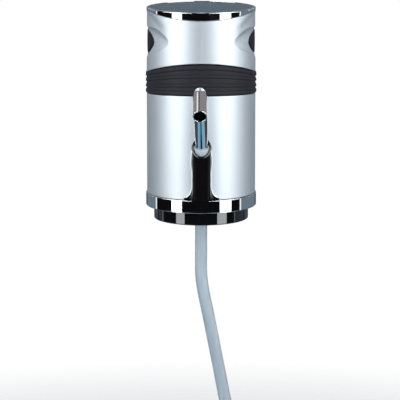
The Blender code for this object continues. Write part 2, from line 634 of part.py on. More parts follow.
def band_section(phi):
    lo, hi = band_lo(phi) + 0.15, band_hi(phi) - 0.15
    out = []
    # four raised ribs: at both edges and two between them, measured down from the top
    tall = hi - lo
    for centre_at, half_tall in ((0.08, 0.08), (0.375, 0.065), (0.67, 0.065), (0.925, 0.075)):
        top = hi - tall * (centre_at - half_tall)
        low = hi - tall * (centre_at + half_tall)
        step = (top - low) * 0.3
        if centre_at > 0.1:
            out.append((BAND_R, top + 0.01))
        out += [(BAND_R + BAND_RIB, top - step), (BAND_R + BAND_RIB, low + step)]
        if centre_at < 0.9:
            out.append((BAND_R, low - 0.01))
    out = [(BAND_R + 0.2, hi)] + out + [(BAND_R + 0.2, lo)]
    return out + [(BAND_SEAT_R + GAP, lo), (BAND_SEAT_R + GAP, hi)]


around("ribbed_band", band_section, BAND_RUBBER, steps=48)


def top_ring_section(phi):
    lo = chrome_lo(phi) + 0.15
    return [(DISC_R + 0.4, Z_TOP), (BODY_R - 0.5, Z_TOP - 0.4), (BODY_R, Z_TOP - 0.9), (BODY_R, lo), (DISC_R + 0.4, lo)]


around("top_ring", top_ring_section, CHROME, steps=64)

button_deck = turned("button_deck", [
    (0, BUTTON_DECK_HI), (32.7, BUTTON_DECK_HI), (32.7, BUTTON_DECK_LO), (0, BUTTON_DECK_LO)],
    ABS_BLACK, closed=False)
for side, sx in (("left", -1), ("right", 1)):
    cut(button_deck, box(f"spring_wall_{side}", (1.6, 16, 22), (sx * 24.2, 0, 106.4), cutter=True),
        how="UNION")
board = cylinder("control_board", 17.0, BUTTON_DECK_HI + GAP, BUTTON_DECK_HI + 1.7, BOARD, sides=32)
board_top = BUTTON_DECK_HI + 1.7
box("tact_switch", (6.2, 6.2, 1.6), (0, 0, board_top + 1.15), ABS_BLACK)
power_button = turned("power_button", [
    (0, Z_TOP), (DISC_R - 0.5, Z_TOP), (DISC_R, Z_TOP - 0.5), (DISC_R, 124.3), (2.6, 124.3),
    (2.2, 123.3), (0, 123.3)], DISC_BLUE, closed=False)
tube("button_spring", helix(0, 0, board_top + 0.8, 123.6, 7.0, 2, 10), 0.4, STEEL, resolution=0)

for side, sx in (("left", -1), ("right", 1)):
    pad = outline(f"release_pad_{side}", ellipse(PAD_A - GAP, PAD_B - GAP, PAD_Z), sx * 22,
                  sx * 40, PAD_BLACK, plane="YZ")
    cut(pad, between(f"pad_shell_{side}", 30.8, 34.9, 80, 125), how="INTERSECT")
    back_plate = outline(f"pad_back_{side}", ellipse(PAD_A + 1.4, PAD_B + 1.4, PAD_Z), sx * 22,
                         sx * 40, plane="YZ", cutter=True)
    cut(back_plate, between(f"pad_back_shell_{side}", 30.8, 32.5, 80, 125), how="INTERSECT")
    cut(pad, back_plate, how="UNION")
    coil_points = [(sx * (25.4 + (30.3 - 25.4) * i / 24), 3.0 * cos(2 * pi * i / 8),
                    PAD_Z + 3.0 * sin(2 * pi * i / 8)) for i in range(25)]
    tube(f"pad_spring_{side}", coil_points, 0.35, STEEL, resolution=0)

# ---------------------------------------------------------------- suction hose
tube("suction_hose", smooth_points([(x, 0, z) for x, z in ROUTE], 2.4 * HOSE_R), HOSE_R,
     HOSE_CLEAR, resolution=3)
coil = turned("hose_coil", [
    (COIL_R + 3.0, 8.4), (COIL_R + 4.2, 7.2), (COIL_R + 4.2, -7.2), (COIL_R + 3.0, -8.4),
    (COIL_R - 3.0, -8.4), (COIL_R - 4.2, -7.2), (COIL_R - 4.2, 7.2), (COIL_R - 3.0, 8.4)],
    HOSE_CLEAR, steps=36)
coil.matrix_world = Matrix.Translation(Vector((COIL_X, COIL_Y, COIL_Z)) * MM) \
    @ Matrix.Rotation(pi / 2, 4, "X")
TIE_ANGLE = radians(-50)
tie_at = Vector((COIL_X + COIL_R * cos(TIE_ANGLE), COIL_Y, COIL_Z + COIL_R * sin(TIE_ANGLE)))
tie_turn = Matrix.Rotation(-TIE_ANGLE, 4, "Y")
tie = box("hose_tie", (11.2, 19.4, 5.0), tie_at, TIE_WHITE, turn=tie_turn)
cut(tie, box("cut_tie", (9.2, 17.5, 9.0), tie_at, cutter=True, turn=tie_turn))
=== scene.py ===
import json
from math import acos, asin, atan2, copysign, cos, degrees, pi, radians, sin, sqrt, tan

import bmesh
import bpy
import numpy as np
from mathutils import Matrix, Vector


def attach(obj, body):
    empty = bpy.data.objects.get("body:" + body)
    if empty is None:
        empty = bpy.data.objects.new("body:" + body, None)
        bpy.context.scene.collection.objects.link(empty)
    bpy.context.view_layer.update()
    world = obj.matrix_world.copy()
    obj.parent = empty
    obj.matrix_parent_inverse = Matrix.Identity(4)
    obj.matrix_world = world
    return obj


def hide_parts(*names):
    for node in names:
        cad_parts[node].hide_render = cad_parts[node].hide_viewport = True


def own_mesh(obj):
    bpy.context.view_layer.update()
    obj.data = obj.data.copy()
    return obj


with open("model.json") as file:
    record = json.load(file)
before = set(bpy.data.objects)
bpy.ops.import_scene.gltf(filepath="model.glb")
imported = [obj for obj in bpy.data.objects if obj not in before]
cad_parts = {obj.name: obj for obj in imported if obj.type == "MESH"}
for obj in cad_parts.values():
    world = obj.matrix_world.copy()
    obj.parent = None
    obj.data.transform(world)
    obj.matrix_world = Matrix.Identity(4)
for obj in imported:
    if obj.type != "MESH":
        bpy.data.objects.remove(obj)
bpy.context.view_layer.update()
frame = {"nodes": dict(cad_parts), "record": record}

# Lengths are in millimetres until a piece is made; +Z is up and the spout points to -Y.
MM = 0.001

# ------------------------------------------------------------ sizes, as in the CAD
BODY_R, WALL, INNER_UP = 35.4, 1.8, 33.0
BAND_R, BAND_SEAT_R = 35.5, 34.2
Z_BAND_LO_SIDE, Z_BAND_LO_FRONT = 70.6, 72.9
Z_BAND_HI_SIDE, Z_BAND_HI_FRONT = 84.2, 93.7
Z_CHROME_SIDE, Z_CHROME_FRONT = 125.1, 121.0
Z_TOP, DISC_R = 126.8, 32.6
RISER_R, RISER_FRONT, RISER_LO, FOOT_HALF, FOOT_TOP = 5.85, -41.85, 6.0, 11.3, 15.0
LEAN = radians(24.0)
SOCKET = Vector((0, -37.8, 37.3))
AXIS = Vector((0, -sin(LEAN), cos(LEAN)))
LEVEL = Vector((0, -cos(LEAN), -sin(LEAN)))
HOOD_BACK = 7.3
PAD_Z, PAD_A, PAD_B = 103.9, 18.5, 9.1
PAD_LONG, PAD_HIGH = 16.4, 8.0
HOSE_R, HOSE_BORE = 4.0, 3.0
COIL = Vector((-21.0, 0, -190.0))
COIL_R = 44.0
ROUTE = ((0, -6.3), (0, -14.3), (0, -36), (0.1, -51), (1.7, -63), (4.4, -76), (8.1, -95),
         (11.8, -114.2), (16.1, -136.3), (19.4, -150), (21.1, -159.2), (22.5, -174))


# ------------------------------------------------------------ camera
camera_data = bpy.data.cameras.new("camera")
camera_data.sensor_width = 36.0
camera_data.lens = 245.34
camera_data.clip_start, camera_data.clip_end = 0.01, 60.0
camera = bpy.data.objects.new("camera", camera_data)
bpy.context.scene.collection.objects.link(camera)
camera.location = (-0.01301, -1.7605, 0.3222)
camera.rotation_euler = (radians(90 - 10.4), 0, radians(-0.4))
bpy.context.scene.camera = camera


# ------------------------------------------------------------ material tools
def new_material(name, **inputs):
    made = bpy.data.materials.new(name)
    made.use_nodes = True
    tree = made.node_tree
    shader = tree.nodes["Principled BSDF"]
    for key, value in inputs.items():
        socket = shader.inputs[key.replace("_", " ")]
        if isinstance(value, tuple) and len(value) == 3 and key != "Subsurface_Radius":
            value = (*value, 1.0)
        socket.default_value = value
    return made, tree, shader


def add(tree, kind, **settings):
    node = tree.nodes.new(kind)
    for key, value in settings.items():
        if hasattr(node, key):
            setattr(node, key, value)
        else:
            node.inputs[key.replace("_", " ")].default_value = value
    return node


def place(tree):
    return add(tree, "ShaderNodeTexCoord").outputs["Object"]


def noise(tree, scale, detail=3.0, rough=0.5, stretch=None):
    node = add(tree, "ShaderNodeTexNoise", Scale=scale, Detail=detail, Roughness=rough)
    at = place(tree)
    if stretch is not None:
        mapping = add(tree, "ShaderNodeMapping")
        mapping.inputs["Scale"].default_value = stretch
        tree.links.new(at, mapping.inputs["Vector"])
        at = mapping.outputs["Vector"]
    tree.links.new(at, node.inputs["Vector"])
    return node.outputs["Fac"]


def spread(tree, value, low, high, start=0.3, end=0.7):
    node = add(tree, "ShaderNodeMapRange")
    node.inputs["From Min"].default_value = start
    node.inputs["From Max"].default_value = end
    node.inputs["To Min"].default_value = low
    node.inputs["To Max"].default_value = high
    tree.links.new(value, node.inputs["Value"])
    return node.outputs["Result"]


def tint(tree, value, dark, light, start=0.3, end=0.7):
    node = add(tree, "ShaderNodeMix", data_type="RGBA")
    tree.links.new(spread(tree, value, 0, 1, start, end), node.inputs["Factor"])
    node.inputs["A"].default_value = (*dark, 1)
    node.inputs["B"].default_value = (*light, 1)
    for socket in node.inputs:
        if socket.type == "RGBA" and socket.name == "A":
            socket.default_value = (*dark, 1)
        if socket.type == "RGBA" and socket.name == "B":
            socket.default_value = (*light, 1)
    return [s for s in node.outputs if s.type == "RGBA"][0]


def bump(tree, shader, value, distance, strength=1.0):
    node = add(tree, "ShaderNodeBump")
    node.inputs["Strength"].default_value = strength
    node.inputs["Distance"].default_value = distance
    tree.links.new(value, node.inputs["Height"])
    tree.links.new(node.outputs["Normal"], shader.inputs["Normal"])


def plain(name, dark, light, rough, metal=0.0, scale=900.0, bumpy=0.000004, rough_by=0.05, **more):
    """A moulded or machined finish: fine colour grain, uneven gloss and a faint relief."""
    made, tree, shader = new_material(name, Metallic=metal, **more)
    grain = noise(tree, scale, 4.0, 0.6)
    tree.links.new(tint(tree, grain, dark, light), shader.inputs["Base Color"])
    broad = noise(tree, 55.0, 3.0, 0.55)
    tree.links.new(spread(tree, broad, max(rough - rough_by, 0.01), rough + rough_by),
                   shader.inputs["Roughness"])
    if bumpy:
        bump(tree, shader, grain, bumpy)
    return made


# ------------------------------------------------------------ materials
def silver_paint():
    made, tree, shader = new_material("silver_metallic_paint", Metallic=0.97)
    flakes = noise(tree, 5200.0, 2.0, 0.6)
    tree.links.new(tint(tree, flakes, (0.70, 0.75, 0.80), (0.775, 0.83, 0.88), 0.32, 0.68),
                   shader.inputs["Base Color"])
    broad = noise(tree, 60.0, 3.0, 0.5)
    tree.links.new(spread(tree, broad, 0.50, 0.525), shader.inputs["Roughness"])
    bump(tree, shader, flakes, 0.0000015, 0.5)
    return made


SILVER = silver_paint()
CHROME = plain("bright_chrome", (0.86, 0.87, 0.885), (0.90, 0.91, 0.925), 0.03, 1.0,
               scale=300.0, bumpy=0, rough_by=0.012)
STEEL_TUBE = plain("polished_steel_tube", (0.89, 0.895, 0.905), (0.93, 0.935, 0.945), 0.06, 1.0,
                   scale=300.0, bumpy=0, rough_by=0.02)
BLACK = plain("gloss_black_plastic", (0.0035, 0.0035, 0.0045), (0.005, 0.005, 0.006), 0.04, 0.0,
              scale=500.0, bumpy=0, rough_by=0.01, IOR=1.5, Coat_Weight=0.6,
              Coat_Roughness=0.02, Coat_IOR=1.5)
LIP_BLACK = plain("bright_black_plastic", (0.0035, 0.0035, 0.0045), (0.005, 0.005, 0.006), 0.04, 0.0,
                  scale=500.0, bumpy=0, rough_by=0.01, IOR=1.6, Coat_Weight=0.8,
                  Coat_Roughness=0.02, Coat_IOR=1.5)
# deep black plastic for the riser; the same near-black finish also paints shade into the grip band's
# two seams
DEEP_BLACK_AND_SEAM_SHADE = plain("deep_black_plastic_and_seam_shade", (0.0035, 0.0034, 0.0042), (0.005, 0.0048, 0.0058), 0.07,
                   0.0, scale=500.0, bumpy=0, rough_by=0.015, IOR=1.12)
BAND = plain("satin_band_rubber", (0.017, 0.018, 0.022), (0.023, 0.024, 0.029), 0.52, 0.0,
             scale=2600.0, bumpy=0.000006, rough_by=0.05, IOR=1.28)
PAD = plain("satin_pad_black", (0.008, 0.009, 0.014), (0.012, 0.013, 0.019), 0.36, 0.0,
            scale=2200.0, bumpy=0.000004, rough_by=0.04, IOR=1.25)
DISC = plain("gloss_blue_grey", (0.050, 0.066, 0.090), (0.058, 0.076, 0.104), 0.10, 0.0,
             scale=420.0, bumpy=0, rough_by=0.03, Coat_Weight=0.4, Coat_Roughness=0.05)
MARK = plain("pale_mark", (0.17, 0.20, 0.25), (0.21, 0.245, 0.295), 0.3, 0.0, scale=900.0, bumpy=0)
SOFT = plain("matt_soft_rubber", (0.020, 0.020, 0.021), (0.030, 0.030, 0.031), 0.68, 0.0,
             scale=1800.0, bumpy=0.00001)
INNER_BLACK = plain("moulded_black", (0.022, 0.022, 0.024), (0.030, 0.030, 0.032), 0.45, 0.0,
                    scale=1500.0, bumpy=0.000008)
INNER_WHITE = plain("moulded_white", (0.66, 0.66, 0.64), (0.72, 0.72, 0.70), 0.42, 0.0,
                    scale=1200.0, bumpy=0.000006)
GEAR = plain("acetal", (0.64, 0.64, 0.62), (0.70, 0.70, 0.68), 0.35, 0.0, scale=1200.0,
             bumpy=0.000004)
STEEL = plain("bright_steel", (0.50, 0.50, 0.52), (0.60, 0.60, 0.62), 0.26, 1.0, scale=700.0,
              bumpy=0.000004)
NICKEL = plain("nickel_plate", (0.62, 0.60, 0.56), (0.70, 0.68, 0.64), 0.24, 1.0, scale=600.0,
               bumpy=0.000003)
MAGNET = plain("sintered_magnet", (0.05, 0.05, 0.055), (0.08, 0.08, 0.085), 0.6, 0.3,
               scale=1500.0, bumpy=0.00001)
BOARD = plain("board_lacquer", (0.010, 0.085, 0.035), (0.016, 0.11, 0.05), 0.35, 0.0,
              scale=800.0, bumpy=0.000004)
CELL = plain("cell_sleeve", (0.055, 0.062, 0.075), (0.075, 0.082, 0.095), 0.28, 0.0,
             scale=500.0, bumpy=0.000002, Coat_Weight=0.3, Coat_Roughness=0.1)
WIRE_RED = plain("wire_red_skin", (0.42, 0.012, 0.012), (0.50, 0.02, 0.02), 0.35, 0.0,
                 scale=900.0, bumpy=0.000002)
WIRE_BLACK = plain("wire_black_skin", (0.012, 0.012, 0.012), (0.02, 0.02, 0.02), 0.35, 0.0,
                   scale=900.0, bumpy=0.000002)
STRAP = plain("soft_strap", (0.66, 0.68, 0.70), (0.74, 0.76, 0.78), 0.55, 0.0, scale=1500.0,
              bumpy=0.00001)


def clear_material(name, dark, light, through, rough, ior, streak=None):
    made, tree, shader = new_material(name, IOR=ior, Transmission_Weight=through)
    grain = noise(tree, 260.0, 4.0, 0.55, streak)
    tree.links.new(tint(tree, grain, dark, light), shader.inputs["Base Color"])
    tree.links.new(spread(tree, grain, rough - 0.04, rough + 0.05), shader.inputs["Roughness"])
    bump(tree, shader, grain, 0.00002, 0.5)
    return made


HOSE = clear_material("silicone_hose", (0.74, 0.84, 0.93), (0.86, 0.93, 0.98), 0.72, 0.2, 1.41,
                      (1.0, 1.0, 0.25))
SEAL = clear_material("translucent_collar", (0.70, 0.80, 0.88), (0.80, 0.88, 0.94), 0.35, 0.22,
                      1.5)

BY_SLOT = {
    "silver_paint": SILVER, "chrome_trim": CHROME, "chrome_spout": STEEL_TUBE,
    "gloss_black": BLACK, "band_rubber": BAND, "pad_black": PAD, "disc_blue_grey": DISC,
    "seal_translucent": SEAL, "hose_silicone": HOSE, "soft_rubber": SOFT,
    "inner_black": INNER_BLACK, "inner_white": INNER_WHITE, "gear_plastic": GEAR,
    "steel": STEEL, "nickel": NICKEL, "magnet": MAGNET, "board_green": BOARD,
    "cell_sleeve": CELL, "wire_red": WIRE_RED, "wire_black": WIRE_BLACK, "tie": STRAP,
}
SLOT_OF = {part["node"]: part["material_slot"] for part in frame["record"]["subparts"]}
for node_name, node_object in frame["nodes"].items():
    finish = BY_SLOT[SLOT_OF[node_name]]
    if node_object.material_slots:
        for material_slot in node_object.material_slots:
            material_slot.material = finish
    else:
        node_object.data.materials.append(finish)


# ------------------------------------------------------------ shape tools
def apply_modifiers(obj):
    bpy.context.view_layer.update()
    graph = bpy.context.evaluated_depsgraph_get()
    mesh = bpy.data.meshes.new_from_object(obj.evaluated_get(graph))
    obj.modifiers.clear()
    obj.data = mesh
    return obj


def even_shading(obj, sharp):
    """Smooth shading in which the large faces keep their own direction."""
    obj.data.shade_smooth()
    obj.data.set_sharp_from_angle(angle=radians(sharp))
    step = obj.modifiers.new("normals", "WEIGHTED_NORMAL")
    step.mode, step.weight, step.keep_sharp = "FACE_AREA", 50, True
    return apply_modifiers(obj)


class Shape:
    """The points and faces of one piece, collected before it is made."""

    def __init__(self):
        self.points, self.faces = [], []

    def grid(self, rows, around=False, ring=False):
        base, m, n = len(self.points), len(rows), len(rows[0])
        for row in rows:
            self.points.extend(tuple(p) for p in row)
        for i in range(m if around else m - 1):
            k = (i + 1) % m
            for j in range(n if ring else n - 1):
                q = (j + 1) % n
                self.faces.append((base + i * n + j, base + i * n + q,
                                   base + k * n + q, base + k * n + j))
        return base

    def cap(self, loop):
        base = len(self.points)
        self.points.extend(tuple(p) for p in loop)
        self.faces.append(tuple(range(base, base + len(loop))))

    def make(self, name, finish, sharp=32.0, turn=None):
        mesh = bpy.data.meshes.new(name)
        array = np.array(self.points, float) * MM
        mesh.from_pydata(array.tolist(), [], self.faces)
        bm = bmesh.new()
        bm.from_mesh(mesh)
        bmesh.ops.remove_doubles(bm, verts=bm.verts, dist=1e-6)
        bmesh.ops.dissolve_degenerate(bm, edges=bm.edges, dist=1e-7)
        bmesh.ops.recalc_face_normals(bm, faces=bm.faces)
        if turn is not None:
            bmesh.ops.transform(bm, matrix=turn, verts=bm.verts)
        bm.to_mesh(mesh)
        bm.free()
        mesh.materials.append(finish)
        obj = bpy.data.objects.new(name, mesh)
        bpy.context.scene.collection.objects.link(obj)
        return even_shading(obj, sharp)


def settle(obj, body, slot, *nodes):
    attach(obj, body)
    if nodes:
        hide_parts(*nodes)
    return obj


def rounded(loop, radii, steps=5, closed=True):
    """The outline with an arc at each corner."""
    n = len(loop)
    radii = radii if isinstance(radii, (list, tuple)) else [radii] * n
    out = []
    for i, point in enumerate(loop):
        p = Vector(point)
        if radii[i] <= 0 or (not closed and i in (0, n - 1)):
            out.append(tuple(p))
            continue
        to_a, to_b = Vector(loop[i - 1]) - p, Vector(loop[(i + 1) % n]) - p
        u, v = to_a.normalized(), to_b.normalized()
        half = u.angle(v) / 2
        reach = min(radii[i] / tan(half), 0.49 * to_a.length, 0.49 * to_b.length)
        radius = reach * tan(half)
        centre = p + (u + v).normalized() * (radius / sin(half))
        w0, w1 = p + u * reach - centre, p + v * reach - centre
        turn = pi - 2 * half
        for k in range(steps + 1):
            s = k / steps
            out.append(tuple(centre + (w0 * sin((1 - s) * turn) + w1 * sin(s * turn)) / sin(turn)))
    return out


def at(phi, r, z):
    """A point at an angle from the front, towards +X."""
    return (r * sin(phi), -r * cos(phi), z)


def lathe(name, loop, finish, steps=128, closed=True, x=0.0, y=0.0, turn=None, sharp=32.0):
    """A profile turned about Z; it may change with the angle from the front."""
    shape = Shape()
    section = loop if callable(loop) else (lambda phi: loop)
    rows = []
    for i in range(steps):
        phi = 2 * pi * i / steps
        rows.append([(p[0] + x, p[1] + y, p[2]) for p in
                     (at(phi, r, z) for r, z in section(phi))])
    shape.grid(rows, around=True, ring=closed)
    return shape.make(name, finish, turn=turn, sharp=sharp)


def smooth_points(knots, spacing):
    """Points read at an even spacing from a smooth curve through the knots."""
    knots = [Vector(k) for k in knots]
    ends = [knots[0] * 2 - knots[1]] + knots + [knots[-1] * 2 - knots[-2]]
    fine = []
    for i in range(1, len(ends) - 2):
        p0, p1, p2, p3 = ends[i - 1:i + 3]
        t1 = (p1 - p0).length ** 0.5
        t2 = t1 + (p2 - p1).length ** 0.5
        t3 = t2 + (p3 - p2).length ** 0.5
        for k in range(24):
            t = t1 + (t2 - t1) * k / 24
            a1 = p0 * ((t1 - t) / t1) + p1 * (t / t1)
            a2 = p1 * ((t2 - t) / (t2 - t1)) + p2 * ((t - t1) / (t2 - t1))
            a3 = p2 * ((t3 - t) / (t3 - t2)) + p3 * ((t - t2) / (t3 - t2))
            b1 = a1 * ((t2 - t) / t2) + a2 * (t / t2)
            b2 = a2 * ((t3 - t) / (t3 - t1)) + a3 * ((t - t1) / (t3 - t1))
            fine.append(b1 * ((t2 - t) / (t2 - t1)) + b2 * ((t - t1) / (t2 - t1)))
    fine.append(knots[-1])
    run = [0.0]
    for a, b in zip(fine, fine[1:]):
        run.append(run[-1] + (b - a).length)
    count = max(2, round(run[-1] / spacing))
    out, k = [], 0
    for i in range(count + 1):
        want = run[-1] * i / count
        while k < len(run) - 2 and run[k + 1] < want:
            k += 1
        span = run[k + 1] - run[k]
        out.append(fine[k].lerp(fine[k + 1], (want - run[k]) / span if span else 0))
    return out


def frames(line):
    """Two cross directions at each point of a line, carried along without twist."""
    line = [Vector(p) for p in line]
    ways = []
    for i in range(len(line)):
        a, b = line[max(i - 1, 0)], line[min(i + 1, len(line) - 1)]
        ways.append((b - a).normalized())
    side = Vector((1, 0, 0))
    side = (side - ways[0] * side.dot(ways[0])).normalized()
    out = []
    for i, way in enumerate(ways):
        if i:
            side = ways[i - 1].rotation_difference(way) @ side
            side = (side - way * side.dot(way)).normalized()
        out.append((line[i], side, way.cross(side)))
    return out


def sweep(shape, line, radii, sides=32):
    rows = []
    for (p, u, v), r in zip(frames(line), radii):
        rows.append([tuple(p + u * (r * cos(2 * pi * k / sides)) + v * (r * sin(2 * pi * k / sides)))
                     for k in range(sides)])
    shape.grid(rows, ring=True)
    return rows


def wire(name, points, radius, finish, body, slot, *nodes, sides=12):
    shape = Shape()
    rows = sweep(shape, points, [radius] * len(points), sides)
    shape.cap(rows[0])
    shape.cap(rows[-1])
    return settle(shape.make(name, finish, sharp=50), body, slot, *nodes)


def ease(t):
    t = min(max(t, 0.0), 1.0)
    return t * t * (3 - 2 * t)


def cut_with(obj, *cutters, how="DIFFERENCE"):
    for cutter in cutters:
        step = obj.modifiers.new("cut", "BOOLEAN")
        step.operation, step.object, step.solver = how, cutter, "EXACT"
    apply_modifiers(obj)
    for cutter in cutters:
        bpy.data.objects.remove(cutter, do_unlink=True)
    return even_shading(obj, 32)


def drum(r, lo, hi, x=0.0, y=0.0, sides=48, turn=None):
    shape = Shape()
    rows = [[(x + r * cos(2 * pi * k / sides), y + r * sin(2 * pi * k / sides), z)
             for k in range(sides)] for z in (lo, hi)]
    shape.grid(rows, ring=True)
    shape.cap(rows[0])
    shape.cap(rows[1])
    return shape.make("cutter", INNER_BLACK, turn=turn)


def block(sx, sy, sz, x=0.0, y=0.0, z=0.0, turn=None):
    shape = Shape()
    low = [(x + a * sx / 2, y + b * sy / 2, z - sz / 2)
           for a, b in ((-1, -1), (1, -1), (1, 1), (-1, 1))]
    high = [(p[0], p[1], z + sz / 2) for p in low]
    shape.grid([low, high], ring=True)
    shape.cap(low)
    shape.cap(high)
    return shape.make("cutter", INNER_BLACK, turn=turn)


# ------------------------------------------------------------ suction hose, first of all
hose_line = smooth_points([(x, 0, z) for x, z in ROUTE] + [(COIL.x + COIL_R, 0, COIL.z)], 4.0)
TURNS = 1.25
steps_round = int(TURNS * 96)
for i in range(1, steps_round + 1):
    turned_by = 2 * pi * TURNS * i / steps_round
    across = 8.4 * ease((turned_by - pi / 2) / (1.5 * pi))
    hose_line.append(Vector((COIL.x + COIL_R * cos(turned_by), across,
                             COIL.z - COIL_R * sin(turned_by))))

hose = Shape()
outside = [HOSE_R - 0.25, HOSE_R - 0.07] + [HOSE_R] * (len(hose_line) - 4) \
    + [HOSE_R - 0.07, HOSE_R - 0.25]
hose_ends = [hose_line[0], hose_line[0].lerp(hose_line[1], 0.06)] + hose_line[2:-2] \
    + [hose_line[-1].lerp(hose_line[-2], 0.06), hose_line[-1]]
outer_rows = sweep(hose, hose_ends, outside, 40)
inner_rows = sweep(hose, hose_ends, [HOSE_BORE] * len(hose_ends), 40)
hose.grid([outer_rows[0], inner_rows[0]], ring=True)
hose.grid([outer_rows[-1], inner_rows[-1]], ring=True)
hose_object = hose.make("dip_hose", HOSE, sharp=60)
settle(hose_object, "base", "hose_silicone", "suction_hose", "hose_coil")

# the tie: a soft strap round both strands of the coil
TIE_ANGLE = radians(50)
strap_at = Vector((COIL.x + COIL_R * cos(TIE_ANGLE), 4.2, COIL.z - COIL_R * sin(TIE_ANGLE)))
strap_turn = Matrix.Translation(strap_at * MM) @ Matrix.Rotation(TIE_ANGLE, 4, "Y")
strap = Shape()
half_x, half_y, round_r = 4.75, 8.95, 4.4
path = rounded([(-half_x, -half_y), (half_x, -half_y), (half_x, half_y), (-half_x, half_y)],
               round_r, 10)
rows = []
for i, (px, py) in enumerate(path):
    a, b = Vector(path[i - 1]), Vector(path[(i + 1) % len(path)])
    out_way = Vector(((b - a).y, -(b - a).x)).normalized()
    section = rounded([(0.0, -2.3), (0.75, -2.3), (0.75, 2.3), (0.0, 2.3)], 0.25, 2)
    rows.append([(px + out_way.x * d, py + out_way.y * d, h) for d, h in section])
strap.grid(rows, around=True, ring=True)
strap_object = strap.make("hose_strap", STRAP, turn=strap_turn)
settle(strap_object, "base", "tie", "hose_tie")


# ------------------------------------------------------------ studio
def glow(name, colour, strength):
    made = bpy.data.materials.new(name)
    made.use_nodes = True
    tree = made.node_tree
    tree.nodes.remove(tree.nodes["Principled BSDF"])
    emit = add(tree, "ShaderNodeEmission")
    emit.inputs["Color"].default_value = (*colour, 1)
    emit.inputs["Strength"].default_value = strength
    tree.links.new(emit.outputs[0], tree.nodes["Material Output"].inputs["Surface"])
    return made


def stage_mesh(name, points, faces, finish, camera_sees=False, shadow=False, diffuse=True):
    mesh = bpy.data.meshes.new(name)
    mesh.from_pydata(points, [], faces)
    mesh.materials.append(finish)
    obj = bpy.data.objects.new(name, mesh)
    bpy.context.scene.collection.objects.link(obj)
    obj.visible_camera = camera_sees
    obj.visible_shadow = shadow
    obj.visible_diffuse = diffuse
    return obj


FLOOR_Z = -0.262
RING = 1.2
TURN = -0.4                     # the studio stands square to the camera


def screen(name, start, end, low, high, finish, radius=RING, **flags):
    """A curved screen between two angles from the front, in degrees."""
    count = max(2, int(abs(end - start) / 3))
    points, faces = [], []
    for i in range(count + 1):
        a = radians(start + TURN + (end - start) * i / count)
        for z in (low, high):
            points.append((radius * sin(a), -radius * cos(a), z))
        if i:
            faces.append((2 * i - 2, 2 * i, 2 * i + 1, 2 * i - 1))
    return stage_mesh(name, points, faces, finish, **flags)


def panel(name, corners, finish, **flags):
    return stage_mesh(name, corners, [tuple(range(len(corners)))], finish, **flags)


def on_floor(name, x0, x1, y0, y1, finish, lift=0.001):
    return panel(name, [(x0, y0, FLOOR_Z + lift), (x1, y0, FLOOR_Z + lift),
                        (x1, y1, FLOOR_Z + lift), (x0, y1, FLOOR_Z + lift)], finish,
                 diffuse=False)


BOX_LIGHT = glow("soft_box", (0.99, 1.0, 1.0), 3.1)
WIDE_LIGHT = glow("wide_box", (0.99, 1.0, 1.0), 4.4)
LOW_LIGHT = glow("low_box", (0.95, 1.0, 1.04), 5.4)
LINE_LIGHT = glow("thin_light", (1.0, 1.0, 1.0), 1.0)
TOP_LIGHT = glow("top_light", (1.0, 1.0, 1.0), 3.0)
BACK_LIGHT = glow("back_light", (1.0, 1.0, 1.0), 1.4)
LIP_LIGHT = glow("lip_light", (1.0, 1.0, 1.0), 2.6)
SIDE_LIGHT = glow("side_light", (1.0, 1.0, 1.0), 2.0)
STREAK_LIGHT = glow("streak_light", (0.95, 0.97, 1.0), 0.85)
WARM_GREY = glow("warm_grey", (0.25, 0.235, 0.245), 1.0)
FLAG = glow("dark_flag", (0.004, 0.004, 0.005), 1.0)
BLUE_DEEP = glow("blue_deep", (0.022, 0.13, 0.235), 1.0)
BLUE_DARK = glow("blue_dark", (0.003, 0.06, 0.155), 1.0)
BLUE_NIGHT = glow("blue_night", (0.001, 0.014, 0.037), 1.0)
BLUE_PALE = glow("blue_pale", (0.15, 0.36, 0.54), 1.0)
BLUE_GREY = glow("blue_grey", (0.30, 0.40, 0.46), 1.0)
BLUE_LIGHT = glow("blue_light", (0.20, 0.37, 0.50), 1.0)
LOW_DARK = glow("low_dark", (0.045, 0.062, 0.072), 1.0)
STREAK_SHADE = glow("streak_shade", (0.11, 0.10, 0.105), 1.0)

screen("box_left", -62.9, -40.6, FLOOR_Z, 1.35, BOX_LIGHT)
screen("box_right", 39.6, 64.6, FLOOR_Z, 1.35, BOX_LIGHT)
screen("flag_front", -40.6, 39.6, FLOOR_Z, 1.5, FLAG, diffuse=False)
screen("flag_left", -105.0, -62.9, FLOOR_Z, 0.62, FLAG, diffuse=False)
screen("flag_right", 64.6, 86.5, FLOOR_Z, 0.62, FLAG, diffuse=False)
screen("low_left", -62.9, -40.6, FLOOR_Z, -0.185, LOW_LIGHT, radius=1.19)
screen("low_right", 39.6, 64.6, FLOOR_Z, -0.185, LOW_LIGHT, radius=1.19)
screen("wide_left", -85, -63.1, 0.045, 0.30, WIDE_LIGHT, radius=1.17)
screen("wide_right", 64.8, 85, 0.045, 0.30, WIDE_LIGHT, radius=1.17)
screen("wide_in_left", -40.4, -20, 0.045, 0.28, WIDE_LIGHT, radius=1.17)
screen("wide_in_right", 16, 39.4, 0.045, 0.28, WIDE_LIGHT, radius=1.17)
screen("line_left", -109.0, -105.0, FLOOR_Z, 0.8, LINE_LIGHT)
screen("line_right", 88.0, 91.5, FLOOR_Z, 0.8, LINE_LIGHT)
screen("flag_back_low", 152, 208, FLOOR_Z, 0.05, LOW_DARK, diffuse=False)
screen("grey_back_right", 128, 163, 0.05, 0.62, WARM_GREY, diffuse=False)
screen("grey_back_left", 197, 232, 0.05, 0.62, WARM_GREY, diffuse=False)
screen("back_left", -168, -156, 0.40, 0.68, BACK_LIGHT)
screen("back_right", 156, 168, 0.40, 0.68, BACK_LIGHT)
screen("side_left", -124, -116, 0.13, 0.27, SIDE_LIGHT)
screen("side_right", 116, 124, 0.13, 0.27, SIDE_LIGHT)
